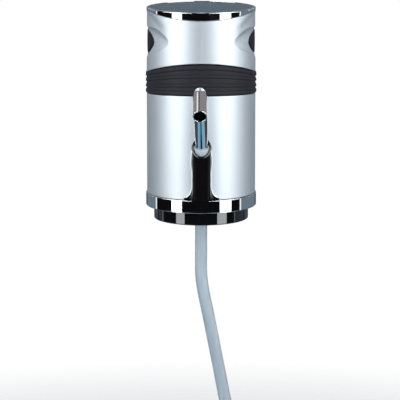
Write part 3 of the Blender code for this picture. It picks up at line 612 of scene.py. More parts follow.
screen("lip_left", -40.4, -20, 0.30, 0.44, LIP_LIGHT, radius=1.17)
screen("lip_right", 20, 39.4, 0.30, 0.44, LIP_LIGHT, radius=1.17)
screen("lip_far_left", -90, -63.2, 0.32, 0.44, LIP_LIGHT, radius=1.17)
screen("lip_far_right", 64.8, 90, 0.32, 0.44, LIP_LIGHT, radius=1.17)
screen("flag_high_left", -124, -84, 0.62, 1.7, FLAG, diffuse=False)
screen("flag_high_right", 84, 124, 0.62, 1.7, FLAG, diffuse=False)
screen("high_left", -84, -63.2, 0.64, 1.35, BOX_LIGHT)
screen("high_right", 64.8, 84, 0.64, 1.35, BOX_LIGHT)
screen("high_in_left", -40.4, -34, 0.64, 1.35, BOX_LIGHT, radius=1.17)
screen("high_in_right", 34, 39.4, 0.64, 1.35, BOX_LIGHT, radius=1.17)
panel("over_back", [(-1.5, 0.10, 1.5), (1.5, 0.10, 1.5), (1.5, 1.25, 0.68), (-1.5, 1.25, 0.68)],
      WARM_GREY, diffuse=False)


def patch(name, az, el, across, tall, finish, reach=1.3, **flags):
    """A card square to a direction: az turns left from straight behind, el goes up."""
    way = Vector((-sin(radians(az)) * cos(radians(el)), cos(radians(az)) * cos(radians(el)),
                  sin(radians(el))))
    side = way.cross(Vector((0, 0, 1))).normalized()
    over = side.cross(way)
    middle = Vector((0, -0.08, 0.08)) + way * reach
    w, h = reach * across / 2, reach * tall / 2
    return panel(name, [tuple(middle + side * a * w + over * b * h)
                        for a, b in ((-1, -1), (1, -1), (1, 1), (-1, 1))], finish, **flags)


patch("streak", 40.0, 51.0, 0.16, 0.25, STREAK_LIGHT, diffuse=False)
patch("streak_shade", 20.0, 65.5, 0.30, 0.09, STREAK_SHADE, reach=1.25, diffuse=False)
panel("top_panel", [(-0.16, -0.75, 1.45), (0.16, -0.75, 1.45), (0.16, -0.45, 1.5),
                    (-0.16, -0.45, 1.5)], TOP_LIGHT)
on_floor("low_dark_left", -1.1, -0.30, -0.20, 0.9, LOW_DARK)
on_floor("low_dark_right", 0.36, 1.1, -0.20, 0.9, LOW_DARK)
on_floor("low_dark_front", -0.30, 0.36, -0.95, -0.36, LOW_DARK)
on_floor("low_dark_back", -0.30, 0.36, 0.10, 0.9, LOW_DARK)
on_floor("low_blue_middle", -0.072, 0.072, -0.36, -0.236, BLUE_DEEP)
on_floor("low_blue_near", -0.072, 0.072, -0.236, -0.208, BLUE_DARK)
on_floor("low_blue_under", -0.072, 0.072, -0.208, -0.05, BLUE_NIGHT)
on_floor("low_blue_left", -0.24, -0.072, -0.36, -0.05, BLUE_PALE)
on_floor("low_blue_right", 0.072, 0.24, -0.36, -0.05, BLUE_LIGHT)
on_floor("low_grey_left", -0.30, -0.24, -0.36, 0.08, BLUE_GREY)
on_floor("low_grey_right", 0.24, 0.36, -0.36, 0.08, BLUE_GREY)

world = bpy.data.worlds.new("studio")
bpy.context.scene.world = world
world.use_nodes = True
sky = world.node_tree
background = sky.nodes["Background"]
background.inputs["Color"].default_value = (0.155, 0.20, 0.245, 1)
background.inputs["Strength"].default_value = 1.0
white = add(sky, "ShaderNodeBackground")
white.inputs["Color"].default_value = (1, 1, 1, 1)
kind_of_ray = add(sky, "ShaderNodeLightPath")
seen = add(sky, "ShaderNodeMath", operation="MAXIMUM")
sky.links.new(kind_of_ray.outputs["Is Camera Ray"], seen.inputs[0])
sky.links.new(kind_of_ray.outputs["Is Transmission Ray"], seen.inputs[1])
pick = add(sky, "ShaderNodeMixShader")
sky.links.new(seen.outputs[0], pick.inputs[0])
sky.links.new(background.outputs[0], pick.inputs[1])
sky.links.new(white.outputs[0], pick.inputs[2])
sky.links.new(pick.outputs[0], sky.nodes["World Output"].inputs["Surface"])

floor_material = bpy.data.materials.new("pale_floor")
floor_material.use_nodes = True
ft = floor_material.node_tree
ft.nodes["Principled BSDF"].inputs["Base Color"].default_value = (0.86, 0.865, 0.87, 1)
ft.nodes["Principled BSDF"].inputs["Roughness"].default_value = 0.8
away = add(ft, "ShaderNodeVectorMath", operation="LENGTH")
ft.links.new(place(ft), away.inputs[0])
fade = spread(ft, away.outputs["Value"], 0.0, 1.0, 0.22, 0.62)
below = add(ft, "ShaderNodeNewGeometry")
hidden = add(ft, "ShaderNodeMath", operation="MAXIMUM")
ft.links.new(fade, hidden.inputs[0])
ft.links.new(below.outputs["Backfacing"], hidden.inputs[1])
clear = add(ft, "ShaderNodeBsdfTransparent")
mixed = add(ft, "ShaderNodeMixShader")
ft.links.new(hidden.outputs[0], mixed.inputs[0])
ft.links.new(ft.nodes["Principled BSDF"].outputs[0], mixed.inputs[1])
ft.links.new(clear.outputs[0], mixed.inputs[2])
ft.links.new(mixed.outputs[0], ft.nodes["Material Output"].inputs["Surface"])
floor_points = [(0.95 * cos(2 * pi * i / 64), 0.95 * sin(2 * pi * i / 64), 0.0) for i in range(64)]
floor = stage_mesh("floor", floor_points, [tuple(range(64))], floor_material, camera_sees=True)
floor.location = (0, 0, FLOOR_Z - 0.001)

bpy.context.scene.view_settings.view_transform = "Standard"
bpy.context.scene.view_settings.look = "None"
bpy.context.scene.view_settings.exposure = 0.0
bpy.context.scene.view_settings.gamma = 1.0


# ------------------------------------------------------------ curved seams
def rise(phi, power):
    return abs(cos(phi)) ** power


def band_lo(phi):
    return Z_BAND_LO_SIDE + (Z_BAND_LO_FRONT - Z_BAND_LO_SIDE) * rise(phi, 1.3)


def band_hi(phi):
    return Z_BAND_HI_SIDE + (Z_BAND_HI_FRONT - Z_BAND_HI_SIDE) * rise(phi, 1.3)


def chrome_lo(phi):
    return Z_CHROME_SIDE + (Z_CHROME_FRONT - Z_CHROME_SIDE) * rise(phi, 2.0)


# ------------------------------------------------------------ chrome rings
def top_trim_section(phi):
    lo = chrome_lo(phi) + 0.12
    return rounded([(DISC_R + 0.16, Z_TOP - 0.05), (BODY_R, Z_TOP - 0.42), (BODY_R, lo),
                    (DISC_R + 0.16, lo)], [0.1, 0.5, 0.3, 0.1], 8)


settle(lathe("top_trim", top_trim_section, CHROME, 256), "cover", "chrome_trim", "top_ring")
base_trim = rounded([(36.0, 5.0), (36.0, -3.3), (31.15, -3.3), (31.15, -2.1), (34.2, -2.1),
                     (34.2, 5.0)], [0.42, 0.4, 0.1, 0.1, 0.1, 0.1], 8)
settle(lathe("base_trim", base_trim, CHROME, 256), "base", "chrome_trim", "chrome_base_ring")

# ------------------------------------------------------------ power disc with its mark
disc = rounded([(0, Z_TOP - 0.02), (DISC_R, Z_TOP - 0.28), (DISC_R, 124.3), (2.6, 124.3),
                (2.2, 123.3), (0, 123.3)], [0, 0.2, 0.2, 0.2, 0.2, 0], 6, closed=False)
settle(lathe("press_disc", disc, DISC, 192, closed=False), "button", "disc_blue_grey",
       "power_button")
mark = Shape()
MARK_Y, MARK_R = 9.0, 7.0
arc_points = [(MARK_R * sin(a), MARK_Y + MARK_R * cos(a), Z_TOP - 0.10) for a in
              (radians(32 + (360 - 64) * k / 72) for k in range(73))]
for line in (arc_points, [(0, MARK_Y + d, Z_TOP - 0.09) for d in (2.6, 4.2, 5.8, 7.4, 9.0)]):
    rows = []
    for i, p in enumerate(line):
        a, b = Vector(line[max(i - 1, 0)]), Vector(line[min(i + 1, len(line) - 1)])
        way = (b - a).normalized()
        side = Vector((way.y, -way.x, 0))
        drop = 0.26 * ((p[0] ** 2 + p[1] ** 2) / DISC_R ** 2)
        ring = rounded([(-0.38, -0.2), (0.38, -0.2), (0.38, 0.09), (-0.38, 0.09)],
                       [0, 0, 0.07, 0.07], 3)
        rows.append([tuple(Vector(p) + side * d + Vector((0, 0, h - drop))) for d, h in ring])
    mark.grid(rows, ring=True)
    mark.cap(rows[0])
    mark.cap(rows[-1])
settle(mark.make("power_mark", MARK), "button", "disc_blue_grey")

# ------------------------------------------------------------ ribbed grip band
RIBS = ((0.085, 0.085), (0.375, 0.062), (0.67, 0.062), (0.925, 0.075))


def band_section(phi):
    lo, hi = band_lo(phi) + 0.60, band_hi(phi) - 0.75
    out = []
    count = 72
    for k in range(count + 1):
        t = k / count
        r = BAND_R
        for centre_at, half in RIBS:
            d = abs(t - centre_at) / half
            if centre_at < 0.1 and t < centre_at:
                d = 0.0 if t > 0.02 else 0.55
            if centre_at > 0.9 and t > centre_at:
                d = 0.0 if t < 0.98 else 0.55
            r += 0.55 * (1 - ease((d - 0.55) / 0.45)) if d < 1 else 0.0
            # a fine groove at the foot of each rib
            g = (abs(t - centre_at) - half * 1.12) / 0.018
            if abs(g) < 1 and 0.02 < t < 0.98:
                r -= 0.12 * (1 - g * g)
        edge = min(t, 1 - t) * (hi - lo)
        if edge < 0.3:
            r -= 0.3 - sqrt(max(0.3 ** 2 - (0.3 - edge) ** 2, 0))
        out.append((r, hi - (hi - lo) * t))
    flange = BODY_R - 0.70
    return [(flange, hi + 0.7), (flange, hi)] + out + [
        (flange, lo), (flange, lo - 0.55), (BAND_SEAT_R + 0.2, lo - 0.55),
        (BAND_SEAT_R + 0.2, hi + 0.7)]


grip_band = lathe("grip_band", band_section, BAND, 256, sharp=60)
# painted shade: the band's own flanges in its two seams get a near-black finish, darker than the
# band's rubber, so the seams read as dark shaded lines
grip_band.data.materials.append(DEEP_BLACK_AND_SEAM_SHADE)
for polygon in grip_band.data.polygons:
    if polygon.center.xy.length < (BODY_R - 0.45) * MM:      # the flanges in the two seams, given painted shade
        polygon.material_index = 1
settle(grip_band, "cover", "band_rubber", "ribbed_band")


# ------------------------------------------------------------ upper housing
def recess_mid(y):
    return 103.9 + 2.9 * ease((abs(y) - 7.0) / 14.0)


def recess_curve(t):
    y = 28.4 * cos(t)
    return y, recess_mid(y) + 10.7 * sin(t)


def pad_mid(y):
    return PAD_Z + 0.55 + 0.0038 * y * y


def window_curve(t, grow=0.0):
    """A slightly pointed oval, its middle line rising to both ends."""
    y = (PAD_LONG + grow) * cos(t)
    return y, pad_mid(y) + (PAD_HIGH + grow) * copysign(abs(sin(t)) ** 1.22, sin(t))


def along(y, r=BODY_R):
    """Distance round the body from its side to a point that lies y behind it."""
    return r * asin(max(-1.0, min(1.0, y / r)))


def soft_dent(phi, z):
    """The shallow hollow between the trim ring and the recess, outside a soft ridge."""
    ridge = radians(37.0) + radians(20.0) * ease((z - 115.0) / 9.5)
    back = pi - abs(phi)
    beyond = min(abs(phi), back) - ridge
    depth = 0.55 * ease(beyond / radians(17.0)) - 0.30 * ease((beyond - radians(10)) / radians(36))
    lift = ease((z - 105.5) / 5.5) * (1 - ease((z - chrome_lo(phi) + 3.2) / 3.0))
    return max(depth, 0.0) * lift


def scoop_depth(t):
    y = 18.5 * cos(t)
    return 0.72 + 0.42 * (y / 18.5) ** 2


def upper_shell():
    shape = Shape()
    S = BODY_R * pi / 2
    up, across = 18, 84

    def top(s):
        return chrome_lo(pi / 2 + s / BODY_R) - 0.12

    def low(s):
        return band_hi(pi / 2 + s / BODY_R) + 0.12

    def seat(s):
        return band_lo(pi / 2 + s / BODY_R) + 0.3

    edge = []                                  # (s, outer z, inner z, side of the patch)
    for k in range(up):
        f = k / up
        edge.append((-S, low(-S) + (top(-S) - low(-S)) * f, seat(-S) + (top(-S) - seat(-S)) * f,
                     "front"))
    for k in range(across):
        s = -S + 2 * S * k / across
        edge.append((s, top(s), top(s), "top"))
    for k in range(up):
        f = 1 - k / up
        edge.append((S, low(S) + (top(S) - low(S)) * f, seat(S) + (top(S) - seat(S)) * f, "back"))
    for k in range(across):
        s = S - 2 * S * k / across
        edge.append((s, low(s), seat(s), "low"))

    def on_body(sx, s, z, drop, bare=False):
        phi = pi / 2 + s / BODY_R
        r = BODY_R - drop
        if not bare:
            r -= soft_dent(phi, z)
            beside = S - abs(s)
            if beside < 0.36:
                r += 0.06 * (1 - (beside / 0.36) ** 2)
        x, y, z = at(phi, r, z)
        return (sx * x, y, z)

    for sx in (-1, 1):
        rays = []
        for s1, z1, z_in, kind in edge:
            t = atan2(z1 - 104.5, s1 / 2.9)
            y0, zw = window_curve(t)
            s0 = along(y0)
            yr, zr = recess_curve(t)
            sr = along(yr)
            ray = []
            # window wall and its rounded rim, then the scoop out to the recess's edge
            ray.append(on_body(sx, s0, zw, BODY_R - INNER_UP, True))
            full = scoop_depth(t)
            w = Vector((s0, zw))
            c = Vector((sr, zr))
            span = (c - w).length
            way = (c - w) / span
            for back, more in ((0.0, 0.30), (0.06, 0.12), (0.22, 0.02)):
                p = w + way * back
                ray.append(on_body(sx, p.x, p.y, full + more))
            first = 0.4 / span
            for k in range(12):
                f = first + (1 - first) * k / 12
                f = min(f, 1 - 0.12 / span)
                p = w + (c - w) * f
                drop = full * (1 - f ** 2.6) if span > 4 else full * (1 - f ** 1.6)
                ray.append(on_body(sx, p.x, p.y, drop))
            b = Vector((s1, z1))
            reach = (b - c).length
            out_way = (b - c) / reach
            ray.append(on_body(sx, c.x, c.y, 0.012))
            spots = [0.15] + [0.4 + (reach - 2.4 - 0.4) * (k / 14) ** 1.15 for k in range(15)] \
                + [reach - 1.5, reach - 0.8, reach - 0.36, reach - 0.18, reach - 0.07]
            spots = [min(max(q, 0.02), reach) for q in spots]
            spots = sorted(spots)
            for q in spots:
                p = c + out_way * q
                rim = 0.0
                if kind in ("top", "low") and reach - q < 0.2:
                    rim = 0.04
                ray.append(on_body(sx, p.x, p.y, rim))
            rim = 0.16 if kind in ("top", "low") or abs(z1 - top(-S)) < 0.01 \
                or abs(z1 - low(-S)) < 0.01 else 0.0
            ray.append(on_body(sx, s1, z1, rim))
            rays.append(ray)
        shape.grid(rays, around=True)
        # the inner skin
        inner = []
        for (s1, z1, z_in, kind) in edge:
            t = atan2(z1 - 104.5, s1 / 2.9)
            y0, zw = window_curve(t)
            s0 = along(y0)
            inner.append([on_body(sx, s0 + (s1 - s0) * f, zw + (z_in - zw) * f,
                                  BODY_R - INNER_UP, True)
                          for f in (0, 0.15, 0.3, 0.45, 0.6, 0.75, 0.9, 1.0)])
        shape.grid(inner, around=True)
        # the top edge and the band's seat close the shell
        lip = [[on_body(sx, s, top(s), 0.16), on_body(sx, s, top(s), BODY_R - INNER_UP, True)]
               for s in (-S + 2 * S * k / across for k in range(across + 1))]
        shape.grid(lip)
        hem = []
        for k in range(across + 1):
            s = S - 2 * S * k / across
            hem.append([on_body(sx, s, low(s), 0.16),
                        on_body(sx, s, low(s), BODY_R - BAND_SEAT_R, True),
                        on_body(sx, s, seat(s), BODY_R - BAND_SEAT_R, True),
                        on_body(sx, s, seat(s), BODY_R - INNER_UP, True)])
        shape.grid(hem)
    return shape.make("upper_shell", SILVER, sharp=50)


settle(upper_shell(), "cover", "silver_paint", "upper_housing")

# ------------------------------------------------------------ thumb pads
for side, sx in (("left", -1), ("right", 1)):
    pad = Shape()
    count, rays = 128, []
    for k in range(count):
        t = 2 * pi * k / count
        ray = []
        for f in (0.0, 0.15, 0.3, 0.45, 0.6, 0.72, 0.82, 0.9, 0.955, 0.985, 1.0):
            y, z = window_curve(t, -0.4)
            z = pad_mid(y * f) + (z - pad_mid(y)) * f
            y *= f
            depth = 0.62 + 0.42 * (y / 18.5) ** 2 - 0.16 * (1 - f * f)
            if f > 0.95:
                depth += {0.955: 0.04, 0.985: 0.22, 1.0: 0.62}[f]
            phi = pi / 2 + along(y) / BODY_R
            x, yy, _ = at(phi, BODY_R - depth, z)
            ray.append((sx * x, yy, z))
        y, z = window_curve(t, -0.4)
        phi = pi / 2 + along(y) / BODY_R
        for r in (32.5,):
            x, yy, _ = at(phi, r, z)
            ray.append((sx * x, yy, z))
        y, z = (PAD_A + 1.4) * cos(t), PAD_Z + (PAD_B + 1.4) * sin(t)
        phi = pi / 2 + along(y) / BODY_R
        for r in (32.5, 30.8):
            x, yy, _ = at(phi, r, z)
            ray.append((sx * x, yy, z))
        for f in (0.7, 0.35, 0.0):
            phi = pi / 2 + along(y * f) / BODY_R
            x, yy, _ = at(phi, 30.8, PAD_Z + (z - PAD_Z) * f)
            ray.append((sx * x, yy, PAD_Z + (z - PAD_Z) * f))
        rays.append(ray)
    pad.grid(rays, around=True)
    settle(pad.make(f"thumb_pad_{side}", PAD, sharp=40), f"pad_{side}", "pad_black",
           f"release_pad_{side}")


# ------------------------------------------------------------ lower housing with its slot
def foot_width(z):
    """Half width of the riser in the front view."""
    if z >= FOOT_TOP:
        return RISER_R
    t = (FOOT_TOP - max(z, RISER_LO + 0.5)) / (FOOT_TOP - RISER_LO - 0.5)
    return RISER_R + (FOOT_HALF - RISER_R) * (1 - sqrt(max(1 - t * t, 0.0)))


def hood_width(z, radius):
    """Half width of the leaning hood where it leaves the housing, or 0 above it."""
    def off(x):
        y = -sqrt(BODY_R ** 2 - x * x)
        q = (y - SOCKET.y) * LEVEL.y + (z - SOCKET.z) * LEVEL.z
        return x * x + q * q - radius * radius
    if off(0) >= 0:
        return 0.0
    lo, hi = 0.0, radius + 1
    for _ in range(40):
        mid = (lo + hi) / 2
        if off(mid) < 0:
            lo = mid
        else:
            hi = mid
    return lo


SLOT_HOOD_R = 6.45
LIP_WIDE, LIP_HIGH = 0.62, 0.19        # the slot's edge stands a little proud


def slot_width(z):
    low_part = foot_width(z) + 0.06 if z < 34.0 else 0.0
    return max(low_part, hood_width(z, SLOT_HOOD_R) if z > 22 else 0.0)


def lower_shell():
    shape = Shape()
    apex_lo, apex_hi = 30.0, 60.0
    for _ in range(50):
        mid = (apex_lo + apex_hi) / 2
        if hood_width(mid, SLOT_HOOD_R) > 0:
            apex_lo = mid
        else:
            apex_hi = mid
    apex = apex_lo
    heights = [5.3, 5.42, 5.75, 6.5, 6.8]
    heights += [6.8 + (FOOT_TOP - 6.8) * k / 16 for k in range(1, 17)]
    heights += [FOOT_TOP + (30.0 - FOOT_TOP) * k / 12 for k in range(1, 13)]
    heights += [30.0 + (apex - 30.0) * (1 - (1 - k / 22) ** 2) for k in range(1, 23)]
    open_rows = len(heights)
    up = [0.04, 0.1, 0.2, 0.35, 0.5, 0.65, 0.8, 0.9, 0.96, 0.985, 0.995, 1.0]
    columns = [0.0, 0.0003, 0.0009, 0.0018, 0.0057, 0.0062, 0.012, 0.03, 0.05] \
        + [0.05 + 0.95 * k / 72 for k in range(1, 73)]
    for sx in (-1, 1):
        outer, inner = [], []
        total = open_rows + len(up)
        for i in range(total):
            row, back = [], []
            if i < open_rows:
                z0 = heights[i]
                w = slot_width(z0) if z0 < apex - 1e-6 else 0.0
                start = asin(w / BODY_R)
            else:
                start = 0.0
            for c, t in enumerate(columns):
                phi = start + (pi - start) * t
                crest = band_lo(phi) - 0.12
                z = z0 if i < open_rows else apex + (crest - apex) * up[i - open_rows]
                drop = 0.0
                if i < open_rows:
                    beside = (phi - start) * BODY_R
                    if beside < LIP_WIDE:
                        drop = -LIP_HIGH * (1 - beside / LIP_WIDE)
                        if beside < 0.1:
                            drop += 0.1 - sqrt(max(0.01 - (0.1 - beside) ** 2, 0.0))
                        drop *= ease((apex + 0.4 - z0) / 1.5)
                if i == 0 or i == total - 1:
                    drop = max(drop, 0.14)
                if i == 1 or i == total - 2:
                    drop = max(drop, 0.03)
                x, y, _ = at(phi, BODY_R - drop, z)
                row.append((sx * x, y, z))
                x, y, _ = at(phi, BODY_R - WALL, z)
                back.append((sx * x, y, z))
            outer.append(row)
            inner.append(back)
        shape.grid(outer)
        shape.grid(inner)
        shape.grid([outer[0], inner[0]])
        shape.grid([outer[-1], inner[-1]])
        shape.grid([[r[0] for r in outer[:open_rows]], [r[0] for r in inner[:open_rows]]])
    return shape.make("lower_shell", SILVER, sharp=40)


settle(lower_shell(), "base", "silver_paint", "lower_housing")


# ------------------------------------------------------------ riser: post, flared foot, hood
def riser():
    shape = Shape()
    heights = [6.0, 6.12, 6.35, 6.8] + [6.8 + (FOOT_TOP - 6.8) * k / 18 for k in range(1, 19)] \
        + [FOOT_TOP + (36.0 - FOOT_TOP) * k / 14 for k in range(1, 15)]
    rows = []
    for i, z in enumerate(heights):
        w = foot_width(z)
        flare = (w - RISER_R) / (FOOT_HALF - RISER_R)
        y_side = -sqrt(35.15 ** 2 - w * w)
        front = RISER_FRONT + 0.25
        inset = {0: 0.35, 1: 0.12, 2: 0.03}.get(i, 0.0)
        half = []
        # slightly crowned front, then a round corner, then the side out to the housing
        for k in range(9):
            x = 3.6 * k / 8
            half.append((x, front - 0.25 * (1 - (x / 5.85) ** 2) + inset))
        p1 = Vector(half[-1])
        p2 = Vector((w - inset * 0.6, y_side))
        c1 = p1 + Vector((2.55 + 0.6 * flare, 0.35))
        c2 = p2 + Vector((-(w - RISER_R) * 0.9, -3.4 * (1 - flare) - 0.6 * flare))
        for k in range(1, 21):
            f = k / 20
            q = (p1 * (1 - f) ** 3 + c1 * 3 * f * (1 - f) ** 2 + c2 * 3 * f * f * (1 - f)
                 + p2 * f ** 3)
            half.append((q.x, q.y))
        half.append((p2.x - 0.2, -33.5))
        full = [(-x, y) for x, y in half[::-1]] + half[1:]
        rows.append([(x, y, z) for x, y in full])
    shape.grid(rows, ring=True)
    shape.cap(rows[0])
    shape.cap(rows[-1])
    post = shape.make("riser", DEEP_BLACK_AND_SEAM_SHADE, sharp=30)
    lean = Matrix.Translation(SOCKET * MM) @ Matrix.Rotation(LEAN, 4, "X")
    slope = atan2((SOCKET + AXIS * HOOD_BACK - LEVEL * 6.15).z - (SOCKET + LEVEL * 6.15).z,
                  (SOCKET + AXIS * HOOD_BACK - LEVEL * 6.15).y - (SOCKET + LEVEL * 6.15).y)
    over = block(40, 60, 30, turn=Matrix.Translation(
        ((SOCKET + AXIS * HOOD_BACK / 2) + Vector((0, -sin(slope), cos(slope))) * 14.0) * MM)
        @ Matrix.Rotation(slope, 4, "X"))
    cut_with(post, drum(5.75, -9.0, 30.0, sides=64, turn=lean), over)

    made = []
    for name, finish in (("riser_hood", DEEP_BLACK_AND_SEAM_SHADE), ("hood_lip", LIP_BLACK)):
        hood = Shape()
        count, rows = 128, []
        for i in range(count):
            a = 2 * pi * i / count
            c, s = cos(a), sin(a)               # c is 1 at the back of the hood
            crest = HOOD_BACK / 2 + HOOD_BACK / 2 * c
            if name == "riser_hood":
                loop = [(4.9, -10.0), (4.9, crest - 1.3), (6.2, crest - 1.3), (6.1, crest - 1.6),
                        (6.0, -10.0)]
                loop = rounded(loop, [0, 0, 0.05, 0.2, 0], 3)
            else:
                loop = [(4.9, crest - 1.3), (4.9, crest - 0.5), (5.3, crest - 0.1),
                        (5.92, crest + 0.06), (6.42, crest - 0.62), (6.42, crest - 0.98),
                        (6.2, crest - 1.3)]
                loop = rounded(loop, [0, 0.2, 0.3, 0.12, 0.2, 0.15, 0.05], 5)
            rows.append([(r * s, r * c, h) for r, h in loop])
        hood.grid(rows, around=True, ring=True)
        made.append(hood.make(name, finish, turn=lean, sharp=60))
    return post, made


post, hoods = riser()
settle(post, "base", "gloss_black", "spout_riser")
for hood in hoods:
    settle(hood, "base", "gloss_black")

LEANING = Matrix.Translation(SOCKET * MM) @ Matrix.Rotation(LEAN, 4, "X")
collar = rounded([(4.7, 3.8), (4.7, -6.0), (4.0, -6.0), (4.0, 3.8)], [0.3, 0.2, 0.2, 0.25], 6)
settle(lathe("seal_collar", collar, SEAL, 96, turn=LEANING), "base", "seal_translucent",
       "spout_seal_ring")
o_ring = [(4.47 + 0.5 * cos(2 * pi * k / 20), -6.9 + 0.48 * sin(2 * pi * k / 20))
          for k in range(20)]
settle(lathe("o_ring", o_ring, SOFT, 72, turn=LEANING), "spout", "soft_rubber", "spout_o_ring")

# ------------------------------------------------------------ spout
SPOUT_R0, SPOUT_R1, SPOUT_WALL, SPOUT_RISE, SPOUT_BEND = 3.6, 4.45, 0.55, 36.9, 12.5
SPOUT_DROP, SPOUT_RUN, SPOUT_TURN, SPOUT_TILT = radians(29.5), 18.9, radians(-0.6), radians(1.3)
line = [SOCKET + AXIS * s for s in [-7.6 + (36.0 + 7.6) * k / 40 for k in range(41)]]
bend_start = SOCKET + AXIS * SPOUT_RISE
bend_centre = bend_start + LEVEL * SPOUT_BEND
sweep_angle = pi / 2 - LEAN + SPOUT_DROP
for k in range(41):
    a = sweep_angle * k / 40
    line.append(bend_centre - LEVEL * SPOUT_BEND * cos(a) + AXIS * SPOUT_BEND * sin(a))
outward = Vector((0, -cos(SPOUT_DROP), -sin(SPOUT_DROP)))
last = line[-1]
for k in range(1, 9):
    line.append(last + outward * SPOUT_RUN * k / 8)
spout_turn = Matrix.Rotation(SPOUT_TURN, 3, AXIS)
line = [SOCKET + spout_turn @ (p - SOCKET) for p in line]
outward = spout_turn @ outward
spout_tilt = Matrix.Rotation(SPOUT_TILT, 3, LEVEL)
knee = SOCKET + AXIS * 2.5


def tilted(p):
    over = (p - knee).dot(AXIS)
    part = Matrix.Rotation(SPOUT_TILT * ease(over / 3.0 + 0.5), 3, LEVEL)
    return knee + part @ (p - knee) if over > -1.5 else p


line = [tilted(p) for p in line]
outward = spout_tilt @ outward
run = [0.0]
for a, b in zip(line, line[1:]):
    run.append(run[-1] + (b - a).length)


def spout_radius(s):
    t = min(max((s - 10.1) / 17.0, 0.0), 1.0)
    return SPOUT_R0 + (SPOUT_R1 - SPOUT_R0) * (1 - (1 - t) ** 2.2)


spout = Shape()
mouth = line[-1]
lip = []
for k in range(9):
    a = pi * k / 8
    lip.append((mouth - outward * (SPOUT_WALL / 2 * (1 - sin(a))),
                spout_radius(run[-1]) - SPOUT_WALL / 2 + SPOUT_WALL / 2 * cos(a)))
centres = line[:-1] + [p for p, r in lip] + line[:-1][::-1]
widths = [spout_radius(s) for s in run[:-1]] + [r for p, r in lip] \
    + [spout_radius(s) - SPOUT_WALL for s in run[:-1]][::-1]
cross = spout_tilt @ spout_turn @ Vector((1, 0, 0))
rows = []
outer_count = len(line) - 1
for i, (p, r) in enumerate(zip(centres, widths)):
    if i < outer_count:
        k = i
    elif i < outer_count + len(lip):
        k = len(line) - 1
    else:
        k = len(line) - 2 - (i - outer_count - len(lip))
    a, b = line[max(k - 1, 0)], line[min(k + 1, len(line) - 1)]
    way = (b - a).normalized()
    if k > len(line) - 3:
        way = outward
    other = way.cross(cross)
    rows.append([tuple(p + cross * (r * cos(2 * pi * j / 56)) + other * (r * sin(2 * pi * j / 56)))
                 for j in range(56)])
spout.grid(rows, ring=True)
spout.grid([rows[0], rows[-1]], ring=True)
settle(spout.make("spout", STEEL_TUBE, sharp=60), "spout", "chrome_spout", "spout_tube")

# ------------------------------------------------------------ neck skirt and what it holds
skirt = rounded([(33.8, 4.7), (33.8, 2.2), (30.8, 2.2), (30.8, -12.2), (29.2, -12.2), (29.2, 2.2),
                 (5.0, 2.2), (5.0, 4.7)], [0.2, 0.2, 0.2, 0.65, 0.4, 0.4, 0.2, 0.2], 7)
skirt_object = lathe("skirt", skirt, BLACK, 192)
SCREWS = [(12.2, -14.7), (-12.2, -14.7), (12.2, 3.7), (-12.2, 3.7)]
cut_with(skirt_object, *[drum(1.6, 0, 8, x, y, 32) for x, y in SCREWS])
settle(skirt_object, "base", "gloss_black", "neck_skirt")

sleeve = [(28.85, -0.3), (28.85, -11.8), (28.3, -11.95)]
for z in (-10.6, -8.2, -5.8, -3.4):
    sleeve += [(27.95, z - 0.8), (27.6, z - 0.3), (27.5, z), (27.6, z + 0.3), (27.95, z + 0.8)]
sleeve += [(27.95, -0.3)]
settle(lathe("grip_sleeve", rounded(sleeve, 0.12, 2), SOFT, 144, sharp=50), "base", "soft_rubber",
       "neck_grip_sleeve")
gasket = [(28.85, 1.9), (28.85, 0.5), (27.2, 0.5), (27.2, 0), (26.6, 0.0), (26.4, 0.22),
          (26.0, 0.22), (25.8, 0.0), (24.4, 0.0), (24.2, 0.22), (23.8, 0.22), (23.6, 0.0),
          (22.0, 0), (22.0, 1.9)]
settle(lathe("gasket", rounded(gasket, 0.08, 2), SOFT, 144, sharp=50), "base", "soft_rubber",
       "seat_gasket")
nipple = rounded([(8.0, 6.2), (8.0, 5.0), (4.6, 5.0), (4.6, 1.0), (2.8, 0.4), (2.8, -8.0),
                  (2.95, -8.6), (2.95, -9.2), (2.7, -11.0), (2.95, -11.2), (2.4, -14.0),
                  (1.7, -14.0), (1.7, 6.2)], 0.15, 3)
settle(lathe("inlet_nipple_turned", nipple, INNER_WHITE, 64), "base", "inner_white",
       "inlet_nipple")
for i, (x, y) in enumerate(SCREWS):
    head = rounded([(0, 17.2), (1.2, 17.2), (1.2, 1.9), (2.4, 1.9), (2.4, 1.0), (1.7, 0.45),
                    (0, 0.4)], [0, 0.2, 0.1, 0.3, 0.3, 0.5, 0], 4, closed=False)
    screw = lathe(f"screw_{i + 1}", head, STEEL, 40, closed=False)
    for turn_by in (0, pi / 2):
        cut_with(screw, block(2.6, 0.55, 1.5, z=0.6, turn=Matrix.Rotation(turn_by + 0.4, 4, "Z")))
    screw.data.transform(Matrix.Translation(Vector((x, y, 0)) * MM))
    settle(screw, "base", "steel", f"pump_screw_{i + 1}")

# ------------------------------------------------------------ inside the cover
frame_ring = rounded([(33.2, 57.6), (33.2, 55.0), (4.0, 55.0), (4.0, 57.0), (31.4, 57.0),
                      (31.4, 76.0), (32.6, 76.0), (32.6, 57.6)],
                     [0.2, 0.2, 0.2, 0.2, 0.6, 0.4, 0.4, 0.3], 4)
frame_object = lathe("carrier", frame_ring, INNER_BLACK, 144)
for a in (90, 210, 330):
    x, y = 28.6 * cos(radians(a)), 28.6 * sin(radians(a))
    frame_object = cut_with(frame_object, drum(2.6, 5.0, 55.6, x, y, 24), how="UNION")
settle(frame_object, "base", "inner_black", "mid_frame")

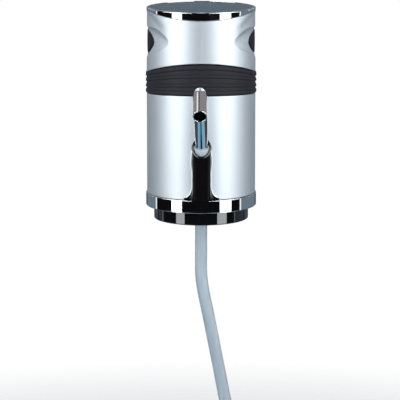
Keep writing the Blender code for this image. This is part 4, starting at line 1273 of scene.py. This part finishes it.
CELLS = [(8.4, 8.4), (-8.4, 8.4), (-8.4, -8.4), (8.4, -8.4)]
holder = lathe("cell_holder", rounded([(0, 101.0), (21.6, 101.0), (21.6, 57.3), (0, 57.3)],
                                      [0, 0.8, 0.3, 0], 5, closed=False), INNER_BLACK, 144,
               closed=False)
cut_with(holder, *[drum(7.6, 58.9, 103, x, y, 64) for x, y in CELLS])
settle(holder, "base", "inner_black", "battery_box")
for i, (x, y) in enumerate(CELLS):
    body = [(0, 50.5), (2.7, 50.5), (2.7, 49.3), (6.75, 49.3), (7.25, 48.8), (7.25, 0.4),
            (6.85, 0), (0, 0)]
    corner = [0, 0.4, 0.15, 0.3, 0.3, 0.2, 0.2, 0]
    if i % 2:
        body = [(q, 50.5 - h) for q, h in body[::-1]]
        corner = corner[::-1]
    cell = lathe(f"cell_{i + 1}", [(r, z + 62.2) for r, z in rounded(body, corner, 4, False)],
                 CELL, 64, closed=False, x=x, y=y)
    cell.data.materials.append(NICKEL)
    for polygon in cell.data.polygons:
        centre = polygon.center / MM
        off_axis = sqrt((centre.x - x) ** 2 + (centre.y - y) ** 2)
        if off_axis < 6.6 and (centre.z < 64.0 or centre.z > 111.0):
            polygon.material_index = 1
    settle(cell, "base", "cell_sleeve", f"battery_cell_{i + 1}")


def coil_line(x, y, z0, z1, r, turns, per_turn=28, closed_ends=True):
    n = int(turns * per_turn)
    return [(x + r * cos(2 * pi * i / per_turn), y + r * sin(2 * pi * i / per_turn),
             z0 + (z1 - z0) * i / n) for i in range(n + 1)]


for i, (x, y) in enumerate(CELLS):
    if i % 2 == 0:
        points = coil_line(x, y, 57.3 + 2.5, 62.2 - 0.75, 3.6, 2)
        wire(f"cell_spring_{i + 1}", points, 0.35, NICKEL, "base", "nickel",
             f"contact_spring_{i + 1}")
    else:
        points = coil_line(x, y, 62.2 + 50.5 + 0.75, 115.4, 3.6, 1.5)
        wire(f"cell_spring_{i + 1}", points, 0.35, NICKEL, "cover", "nickel",
             f"contact_spring_{i + 1}")
press_spring = wire("press_spring", coil_line(0, 0, 119.9 + 0.8, 123.6, 7.0, 2, 40), 0.4, STEEL,
                    "cover", "steel", "button_spring")
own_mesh(press_spring)
for side, sx in (("left", -1), ("right", 1)):
    points = [(sx * (25.4 + (30.3 - 25.4) * i / 84), 3.0 * cos(2 * pi * i / 28),
               PAD_Z + 3.0 * sin(2 * pi * i / 28)) for i in range(85)]
    pad_spring = wire(f"return_spring_{side}", points, 0.35, STEEL, "cover", "steel",
                      f"pad_spring_{side}")
    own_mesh(pad_spring)

bpy.context.view_layer.update()
